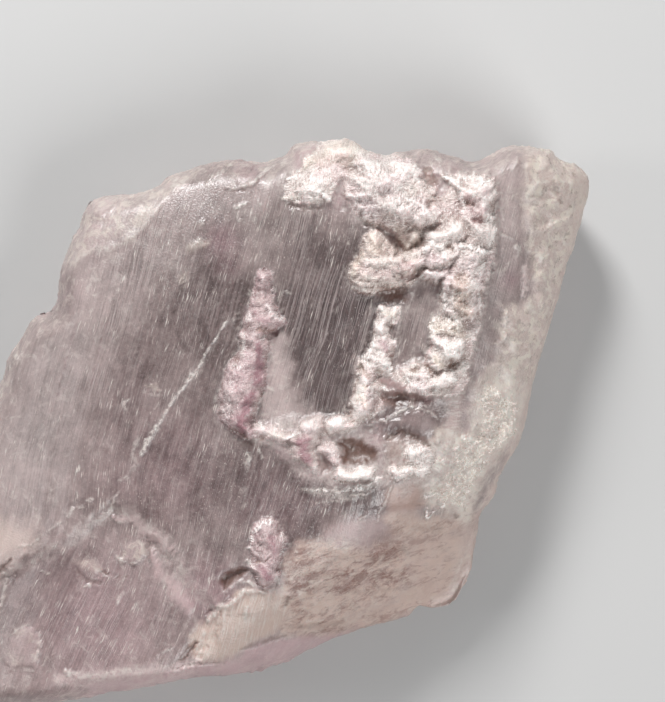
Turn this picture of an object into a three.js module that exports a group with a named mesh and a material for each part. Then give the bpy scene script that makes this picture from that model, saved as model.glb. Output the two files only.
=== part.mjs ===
// A rough kunzite crystal: a flattened, naturally etched prism that lies on its back.
//
// It grew as one piece, so it is one solid. The broad striated face looks up (+Z), and the
// striations lean to the right of +Y, along the crystal's long axis. Bevels fall away to the
// left, the upper left, the right and the lower right, a lower terrace fills the lower left
// corner, and a sugary crust stands on the broad face in a U shape and a column.
// Millimetres. The origin is the centre of the bounding box's bottom, on the flat back.

import * as THREE from "three";
import { mergeVertices } from "three/addons/utils/BufferGeometryUtils.js";

// ---- Mesh density: cells across the crystal, along it and up its side wall ----
const ACROSS_CELLS = 48;
const ALONG_CELLS = 40;
const WALL_CELLS = 3;
const RIM_CROWDING = 0.35; // 0 spaces the cells evenly; more crowds them towards the rim
const SPLINE_STEPS = 240; // points in which each side of the outline is sampled
const SAME_PLACE = 1e-4; // the box's corners that lie this near are one, in shares of its size

// ---- Heights above the surface that the crystal lies on ----
const FACE_HEIGHT = 15.2; // the broad face, at the origin of the outline
const FACE_TILT = [0.012, -0.02]; // rise per millimetre along X and Y
const RIM_MIDDLE = 5.6; // the silhouette edge, at the origin of the outline
const RIM_TILT = [0.02, 0.075];
const RIM_HALF_WALL = 0.9; // the near-vertical band on each side of the silhouette edge
const RIM_ROUNDING = 2.6; // width of the rounded shoulder inside the outline, on the front
const BACK_INSET = 6.5; // how far inside the outline the back becomes flat
const BACK_INSET_SWING = 1.8; // how much that distance varies round the crystal
const BACK_SWING_WAVES = { alongX: 0.13, alongY: 0.17, start: 0.9 }; // radians per millimetre, and radians

// ---- Bevels of the front: a line through `at`, falling away against `uphill` ----
const BEVELS = [
  { at: [-21.5, 5], uphill: [0.961, -0.276], slope: 0.55 }, // left
  { at: [-15.2, 9.6], uphill: [0.509, -0.861], slope: 0.38 }, // upper left
  { at: [16.6, 10], uphill: [-0.961, 0.276], slope: 0.72 }, // right
  { at: [0.4, -19.6], uphill: [-0.635, 0.773], slope: 0.92 }, // lower right
];
const BEVEL_BLEND = 2.4; // how wide an edge between two faces is rounded

// ---- The lower terrace in the lower left corner ----
const TERRACE_DROP = 1.5;
const TERRACE_LIP = 0.9; // half the width of the slope down to it
const TERRACE = [
  [-46, -24.5], [-33.2, -22.4], [-27.2, -19.6], [-22, -15.4], [-19.2, -17.1], [-16.8, -19.7],
  [-14.4, -23.4], [-11.5, -26.1], [-11.8, -28.9], [-14.3, -31.7], [-18.3, -33.4], [-46, -42],
];

// ---- Crust and hollows: strokes of [x, y, half width, height]. Negative heights are hollows ----
const STROKE_SPREAD = 0.5; // how far past its half width a stroke still slopes down
const STROKE_STEEPNESS = 1.4; // 1 slopes all the way to its middle; more gives it a level top
const STROKES = {
  crest: [[-3.2, 19.1, 1.2, 0.5], [-0.3, 19.8, 1.5, 0.8], [2.8, 19.2, 1.6, 1], [5.8, 18, 1.4, 0.9]],
  leftKnob: [[-3.7, 16.1, 1.5, 0.9], [-2, 16.2, 1.8, 1.3], [-0.5, 15.5, 1.2, 1]],
  mainMass: [[1.2, 16, 2, 1], [4.2, 16, 3, 1.8], [7.2, 15, 3.3, 2.3], [9.3, 13.6, 2.2, 1.8]],
  fist: [[3.3, 9.5, 1.8, 1.6], [5.2, 8.1, 2.4, 2.2], [6.8, 6.8, 1.9, 2]],
  arm: [[6.2, 8.6, 2, 2], [8.6, 9.6, 1.8, 1.9], [11, 10.4, 1.8, 1.8]],
  columnTop: [[11, 16.2, 1.2, 1], [13.8, 15, 2, 1.5], [14.8, 12, 2, 1.7]],
  column: [[14.8, 12, 2, 1.7], [13, 9.2, 2.2, 1.9], [12.6, 5.4, 1.7, 1.5], [12, 2, 1.5, 1.1]],
  whiteKnob: [[10.4, 0, 1.3, 1.5], [12.3, 0.2, 1.4, 1.4]],
  lumps: [[6.8, -3, 1.1, 0.9], [9.2, -2.6, 1.3, 1.1], [11.4, -3.2, 1.3, 0.9], [13, -2, 1, 0.8]],
  ridge: [[5.1, 4.6, 0.9, 0.9], [4.6, 2.2, 1.1, 1.3], [4, -0.4, 1.1, 1.2], [3.3, -3.4, 1.3, 1.4],
    [2.3, -6.1, 1.3, 1.3], [1.6, -8.1, 1.1, 1]],
  pinkRidge: [[-6.9, 7.9, 0.6, 0.8], [-7, 5.6, 0.8, 1.1], [-6.9, 3.6, 1.2, 1.5], [-7.6, 0.6, 1.3, 1.5],
    [-8.2, -2.4, 1.5, 1.7], [-8.9, -5.4, 1.7, 1.8], [-9.1, -7.3, 1.3, 1.4]],
  pinkNose: [[-6.9, 3.6, 0.9, 1.4], [-5.4, 3.4, 0.6, 1.2]],
  foot: [[-8.7, -8.7, 0.8, 0.7], [-6.2, -9, 1, 0.9], [-3.7, -9.4, 1.2, 1.3], [-2.3, -10.3, 1.4, 1.5],
    [-1.3, -11.8, 1.3, 1.3], [0.3, -12.9, 1, 1.1], [2, -13.3, 1, 1], [4, -13.1, 0.9, 0.9]],
  footTop: [[-0.2, -7.4, 0.9, 0.9], [1.8, -8.1, 0.9, 0.8]],
  pinkBump: [[-6.8, -17.9, 0.8, 0.9], [-6.4, -19.4, 1.3, 1.5], [-6.7, -21.1, 1.3, 1.4],
    [-7.5, -22.7, 0.9, 1]],
  cave: [[2.1, -10.2, 1.1, -1.5], [3.7, -10.6, 0.9, -1.2]],
  hollow: [[5.3, -4.7, 1, -0.9], [7.6, -4.6, 0.9, -0.7], [9.6, -4.9, 0.8, -0.6]],
  lowerHollow: [[7, -8.2, 1.7, -0.7], [9.4, -9, 1.5, -0.6]],
};

// ---- The silhouette, as four sides between its corners, seen from above ----
const PHOTO_MIDDLE = [332.5, 351]; // pixels from the photo's left and top edges
const PHOTO_PIXEL = 0.1; // millimetres that a pixel covers on the plane of the broad face
const CAMERA_RISE = 260; // above that plane
const EDGE_BELOW_FACE = 6.5; // how far below that plane the silhouette's edge lies, on average

// Places in the photo, picked by eye, in pixels from its left and top edges. Those outside the photo
// finish what its left and bottom edges cut off.
const LEFT_IN_PHOTO = [
  [-42, 697], [-55, 662], [-50, 622], [-55, 582], [-48, 545], [-50, 505], [-40, 462], [-22, 420],
  [0, 381.5], [6.3, 360.5], [19, 339.4], [31.6, 320.5], [42, 313.8], [49.5, 314], [57.9, 297.3],
  [59.6, 280.5], [63, 263.7], [71.6, 238.4], [79, 227.9], [84.2, 213], [90.5, 202.6],
];
const TOP_IN_PHOTO = [
  [90.5, 202.6], [99, 198.8], [118, 195.3], [139, 193], [160, 185.8], [168.4, 177.4], [183, 172.7],
  [200, 166], [221, 162.3], [246, 161.3], [265, 164.2], [273, 161], [285, 156.3], [294, 146.3],
  [308, 143], [323, 142.3], [343.5, 139.9], [355, 143.9], [369, 151], [385, 156.4], [399, 152.5],
  [421, 151], [436, 152.6], [450, 156.8], [459, 158.8], [468, 163.1], [477.7, 162.2], [487, 156.8],
  [496.4, 152.1], [506, 148.4], [518, 147.2], [531, 147.9], [540.6, 151], [548.7, 151],
  [558, 160.2], [566, 163.5], [574, 164.9], [582, 171],
];
const RIGHT_IN_PHOTO = [
  [455, 603], [464, 588], [471, 572.6], [474, 557], [478, 530.5], [481.7, 513.7], [495, 495.4],
  [499.3, 477], [505, 468.8], [514.7, 453.3], [521.7, 439.3], [526, 418], [529.4, 400], [539, 362],
  [548.7, 326.3], [555.4, 304.8], [562, 280.7], [567.4, 260.6], [572.8, 247], [578, 227],
  [581, 216.4], [585, 200.4], [587, 187], [586.6, 179], [582, 171],
];
const BOTTOM_IN_PHOTO = [
  [-42, 697], [-8, 708], [40, 706], [90, 698], [140, 689], [177, 682], [200, 678], [230.6, 678],
  [253.5, 674.8], [276.5, 668.5], [295.6, 660], [312.8, 650.3], [337.7, 639.8], [368, 629],
  [391, 623.6], [406, 619], [419.3, 607.7], [432, 609.5], [446, 607], [455, 603],
];

// Millimetres from the middle of the picture, for a place on the silhouette's edge.
function fromPhoto([x, y]) {
  const pixel = (PHOTO_PIXEL * (CAMERA_RISE + EDGE_BELOW_FACE)) / CAMERA_RISE;
  return [(x - PHOTO_MIDDLE[0]) * pixel, (PHOTO_MIDDLE[1] - y) * pixel];
}

const LEFT_SIDE = LEFT_IN_PHOTO.map(fromPhoto);
const TOP_SIDE = TOP_IN_PHOTO.map(fromPhoto);
const RIGHT_SIDE = RIGHT_IN_PHOTO.map(fromPhoto);
const BOTTOM_SIDE = BOTTOM_IN_PHOTO.map(fromPhoto);

const clamp = (value, low = 0, high = 1) => Math.min(high, Math.max(low, value));
const ease = (t) => t * t * (3 - 2 * t);
const dome = (t) => Math.sqrt(1 - (1 - clamp(t)) ** 2); // quarter circle, steep at 0 and level at 1

// The lower of two heights, with a rounded edge where they meet.
function smoothMin(a, b, width) {
  const share = Math.max(width - Math.abs(a - b), 0) / width;
  return Math.min(a, b) - (share * share * width) / 4;
}

// ---- Outline: each side is a smooth curve through its points ----

function sideCurve(points) {
  const curve = new THREE.SplineCurve(points.map(([x, y]) => new THREE.Vector2(x, y)));
  curve.arcLengthDivisions = SPLINE_STEPS * 4;
  const samples = curve.getSpacedPoints(SPLINE_STEPS);
  return (t) => {
    const place = clamp(t) * SPLINE_STEPS;
    const index = Math.min(Math.floor(place), SPLINE_STEPS - 1);
    return samples[index].clone().lerp(samples[index + 1], place - index);
  };
}

const left = sideCurve(LEFT_SIDE);
const right = sideCurve(RIGHT_SIDE);
const bottom = sideCurve(BOTTOM_SIDE);
const top = sideCurve(TOP_SIDE);

// Where the share s across and t along the crystal lies: the four sides, blended over the inside.
function placeInside(s, t) {
  const place = new THREE.Vector2();
  place.addScaledVector(bottom(s), 1 - t).addScaledVector(top(s), t);
  place.addScaledVector(left(t), 1 - s).addScaledVector(right(t), s);
  place.addScaledVector(bottom(0), -(1 - s) * (1 - t)).addScaledVector(bottom(1), -s * (1 - t));
  return place.addScaledVector(top(0), -(1 - s) * t).addScaledVector(top(1), -s * t);
}

function segmentDistance(x, y, [ax, ay], [bx, by]) {
  const [dx, dy] = [bx - ax, by - ay];
  const along = clamp(((x - ax) * dx + (y - ay) * dy) / (dx * dx + dy * dy || 1));
  return { along, distance: Math.hypot(x - ax - along * dx, y - ay - along * dy) };
}

function distanceToLine(x, y, points, closed) {
  let nearest = Infinity;
  for (let i = closed ? 0 : 1; i < points.length; i += 1) {
    const from = points[(i + points.length - 1) % points.length];
    nearest = Math.min(nearest, segmentDistance(x, y, from, points[i]).distance);
  }
  return nearest;
}

function rimDistance(x, y) {
  const sides = [LEFT_SIDE, TOP_SIDE, RIGHT_SIDE, BOTTOM_SIDE];
  return Math.min(...sides.map((side) => distanceToLine(x, y, side, false)));
}

function isInside(x, y, polygon) {
  let inside = false;
  polygon.forEach(([ax, ay], i) => {
    const [bx, by] = polygon[(i + polygon.length - 1) % polygon.length];
    if (ay > y !== by > y && x < ((bx - ax) * (y - ay)) / (by - ay) + ax) inside = !inside;
  });
  return inside;
}

// ---- Relief ----

// How deep a place lies in the terrace: 0 outside it, 1 on its floor.
function terraceDepth(x, y) {
  const distance = distanceToLine(x, y, TERRACE, true) * (isInside(x, y, TERRACE) ? 1 : -1);
  return ease(clamp((distance + TERRACE_LIP) / (2 * TERRACE_LIP)));
}

// The height of one stroke at a place: a round ridge, with its widths and heights joined up.
function strokeHeight(x, y, stroke) {
  let tallest = 0;
  for (let i = 1; i < stroke.length; i += 1) {
    const [from, to] = [stroke[i - 1], stroke[i]];
    const { along, distance } = segmentDistance(x, y, from, to);
    const halfWidth = THREE.MathUtils.lerp(from[2], to[2], along);
    const height = THREE.MathUtils.lerp(from[3], to[3], along);
    const here = height * ease(clamp(STROKE_STEEPNESS * (1 - distance / (halfWidth + STROKE_SPREAD))));
    if (Math.abs(here) > Math.abs(tallest)) tallest = here;
  }
  return tallest;
}

function crustHeight(x, y) {
  const heights = Object.values(STROKES).map((stroke) => strokeHeight(x, y, stroke));
  return Math.max(0, ...heights) + Math.min(0, ...heights);
}

// ---- The two sides of the crystal ----

const rimHeight = (x, y) => RIM_MIDDLE + RIM_TILT[0] * x + RIM_TILT[1] * y;

function frontHeight(x, y) {
  let height = FACE_HEIGHT + FACE_TILT[0] * x + FACE_TILT[1] * y;
  for (const { at, uphill, slope } of BEVELS) {
    const fromLine = (x - at[0]) * uphill[0] + (y - at[1]) * uphill[1];
    height = smoothMin(height, FACE_HEIGHT + slope * fromLine, BEVEL_BLEND);
  }
  height += crustHeight(x, y) - TERRACE_DROP * terraceDepth(x, y);
  const shoulder = rimHeight(x, y) + RIM_HALF_WALL;
  return shoulder + (height - shoulder) * dome(rimDistance(x, y) / RIM_ROUNDING);
}

function backHeight(x, y) {
  const { alongX, alongY, start } = BACK_SWING_WAVES;
  const inset = BACK_INSET + BACK_INSET_SWING * Math.sin(alongX * x + start) * Math.cos(alongY * y);
  const rim = rimHeight(x, y) - RIM_HALF_WALL;
  return rim * (1 - ease(dome(rimDistance(x, y) / inset)));
}

// ---- The solid: a box with many cells, bent to the outline and the two sides ----

const crowded = (t) => t - (RIM_CROWDING * Math.sin(2 * Math.PI * t)) / (2 * Math.PI);

function crystalGeometry() {
  const box = new THREE.BoxGeometry(1, 1, 1, ACROSS_CELLS, ALONG_CELLS, WALL_CELLS);
  box.deleteAttribute("normal").deleteAttribute("uv");
  const geometry = mergeVertices(box, SAME_PLACE);
  const position = geometry.getAttribute("position");
  for (let i = 0; i < position.count; i += 1) {
    const { x, y } = placeInside(crowded(position.getX(i) + 0.5), crowded(position.getY(i) + 0.5));
    const up = position.getZ(i) + 0.5;
    position.setXYZ(i, x, y, THREE.MathUtils.lerp(backHeight(x, y), frontHeight(x, y), up));
  }
  geometry.computeBoundingBox();
  const { min, max } = geometry.boundingBox;
  geometry.translate(-(min.x + max.x) / 2, -(min.y + max.y) / 2, -min.z);
  geometry.computeVertexNormals();
  return geometry;
}

const kunzite = new THREE.MeshStandardMaterial({ color: 0xb8a3a3, roughness: 0.45, metalness: 0 });
const crystal = new THREE.Mesh(crystalGeometry(), kunzite);
crystal.name = "crystal";

const kunziteCrystal = new THREE.Group();
kunziteCrystal.add(crystal);

export default kunziteCrystal;
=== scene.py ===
# A rough kunzite crystal that lies on its flat back, seen from straight above.
#
# Its shape is worked out in millimetres: X to the right, Y towards the crystal's thick, crusted end and Z out
# of its broad face. (0, 0) lies under the camera. Places on the front are given as the camera sees them, on
# the plane of the broad face.
import math

import bpy
import numpy as np
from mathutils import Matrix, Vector


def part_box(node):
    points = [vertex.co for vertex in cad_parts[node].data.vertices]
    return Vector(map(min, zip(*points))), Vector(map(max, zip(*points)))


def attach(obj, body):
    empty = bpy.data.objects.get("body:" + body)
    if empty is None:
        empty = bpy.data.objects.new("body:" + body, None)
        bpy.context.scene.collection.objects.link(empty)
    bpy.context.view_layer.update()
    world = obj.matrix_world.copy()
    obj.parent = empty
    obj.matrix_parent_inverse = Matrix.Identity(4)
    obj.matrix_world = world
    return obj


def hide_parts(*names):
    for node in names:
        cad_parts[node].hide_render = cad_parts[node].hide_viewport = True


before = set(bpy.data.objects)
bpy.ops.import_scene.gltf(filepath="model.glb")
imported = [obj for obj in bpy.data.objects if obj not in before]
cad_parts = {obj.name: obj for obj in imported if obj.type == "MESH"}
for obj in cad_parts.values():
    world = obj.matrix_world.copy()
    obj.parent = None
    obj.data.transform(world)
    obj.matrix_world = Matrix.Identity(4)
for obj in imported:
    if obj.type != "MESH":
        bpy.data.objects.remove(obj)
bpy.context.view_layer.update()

MM = 0.001

# ---- The camera's place, and the plane on which it sees places on the front ----
CAMERA_RISE = 260.0  # above the plane of the broad face
FACE_PLANE = 14.0  # height of that plane above the floor
VIEW_HEIGHT = 70.2  # of that plane, from the top to the bottom of the picture
SENSOR = 36.0
CLIP_START, CLIP_END = 0.01, 10  # in metres

# ---- Mesh density ----
BLOCKS_ACROSS = 124  # blocks of the front from its left side to its right side
BLOCKS_ALONG = 108
FINEST = 4  # cells along a block's side where the surface is finest
RIM_CELL = 2  # size, in finest cells, of the cells along the silhouette
WALL_RINGS = 5
BACK_STEP = 4  # the back has one cell for this many of the rim's
EVENING_ROUNDS = 200  # rounds of evening out the front's cells
MAP_STEP = 0.1  # of the even grid on which the front is worked out first
MAP_X, MAP_Y = (-41.5, 28), (-38.5, 23.5)
VIEW_SHIFT = 1.5  # how far a place lies from where the camera sees it on the plane of the face, at most

# ---- Heights above the floor, and the shape of the rim and the back ----
FACE_HEIGHT = 15.2
FACE_TILT = (0.012, -0.02)
RIM_MIDDLE = 5.6
RIM_TILT = (0.02, 0.075)
RIM_HALF_WALL = 0.9  # from the rim's middle to the wall's upper or lower end
RIM_ROUNDING = 2.6  # how far in from the silhouette the front is rounded
BACK_INSET = 6.5  # how far in from the silhouette the flat of the back starts
BACK_INSET_SWING = 1.8  # how much that distance varies round the crystal
BACK_SWING_WAVES, BACK_SWING_START = (0.13, 0.17), 0.9  # radians per millimetre of X and Y, and radians

# Bevels of the front: a point on the edge, the way uphill and the slope.
BEVELS = [
    ((-21.5, 5), (0.961, -0.276), 0.55),  # left
    ((-15.2, 9.6), (0.509, -0.861), 0.38),  # upper left
    ((16.6, 10), (-0.961, 0.276), 0.72),  # right
    ((0.4, -19.6), (-0.635, 0.773), 0.92),  # lower right
]
BEVEL_BLEND = 2.4

# The lower left corner lies a step lower.
TERRACE_DROP, TERRACE_LIP = 0.8, 0.7
TERRACE = [
    (-46, -24.5), (-33.2, -22.4), (-27.2, -19.6), (-22, -15.4), (-19.2, -17.1), (-16.8, -19.7),
    (-14.4, -23.4), (-11.5, -26.1), (-11.8, -28.9), (-14.3, -31.7), (-18.3, -33.4), (-46, -42),
]


# ---- The silhouette, as four sides between its corners ----
PHOTO_MIDDLE = (332.5, 351)  # pixels from the photo's left and top edges
PHOTO_PIXEL = 0.1  # that a pixel covers on the plane of the broad face
EDGE_BELOW_FACE = 6.5  # how far below that plane the silhouette's edge lies, on average

# Places in the photo, in pixels from its left and top edges. Those outside the photo finish what its left and
# bottom edges cut off.
LEFT_IN_PHOTO = [
    (-42, 697), (-55, 662), (-50, 622), (-55, 582), (-48, 545), (-50, 505), (-40, 462), (-22, 420),
    (0, 381.5), (6.3, 360.5), (19, 339.4), (31.6, 320.5), (42, 313.8), (49.5, 314), (57.9, 297.3),
    (59.6, 280.5), (63, 263.7), (71.6, 238.4), (79, 227.9), (84.2, 213), (90.5, 202.6),
]
TOP_IN_PHOTO = [
    (90.5, 202.6), (99, 198.8), (118, 195.3), (139, 193), (160, 185.8), (168.4, 177.4), (183, 172.7),
    (200, 166), (221, 162.3), (246, 161.3), (265, 164.2), (273, 161), (285, 156.3), (294, 146.3),
    (308, 143), (323, 142.3), (343.5, 139.9), (355, 143.9), (369, 151), (385, 156.4), (399, 152.5),
    (421, 151), (436, 152.6), (450, 156.8), (459, 158.8), (468, 163.1), (477.7, 162.2), (487, 156.8),
    (496.4, 152.1), (506, 148.4), (518, 147.2), (531, 147.9), (540.6, 151), (548.7, 151), (558, 160.2),
    (566, 163.5), (574, 164.9), (582, 171),
]
RIGHT_IN_PHOTO = [
    (455, 603), (464, 588), (471, 572.6), (474, 557), (478, 530.5), (481.7, 513.7), (495, 495.4),
    (499.3, 477), (505, 468.8), (514.7, 453.3), (521.7, 439.3), (526, 418), (529.4, 400), (539, 362),
    (548.7, 326.3), (555.4, 304.8), (562, 280.7), (567.4, 260.6), (572.8, 247), (578, 227), (581, 216.4),
    (585, 200.4), (587, 187), (586.6, 179), (582, 171),
]
BOTTOM_IN_PHOTO = [
    (-42, 697), (-8, 708), (40, 706), (90, 698), (140, 689), (177, 682), (200, 678), (230.6, 678),
    (253.5, 674.8), (276.5, 668.5), (295.6, 660), (312.8, 650.3), (337.7, 639.8), (368, 629),
    (391, 623.6), (406, 619), (419.3, 607.7), (432, 609.5), (446, 607), (455, 603),
]


def from_photo(places):
    """Millimetres from the middle of the picture, for places on the silhouette's edge."""
    pixel = PHOTO_PIXEL * (CAMERA_RISE + EDGE_BELOW_FACE) / CAMERA_RISE
    return [((x - PHOTO_MIDDLE[0]) * pixel, (PHOTO_MIDDLE[1] - y) * pixel) for x, y in places]


LEFT_SIDE, TOP_SIDE = from_photo(LEFT_IN_PHOTO), from_photo(TOP_IN_PHOTO)
RIGHT_SIDE, BOTTOM_SIDE = from_photo(RIGHT_IN_PHOTO), from_photo(BOTTOM_IN_PHOTO)

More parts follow.
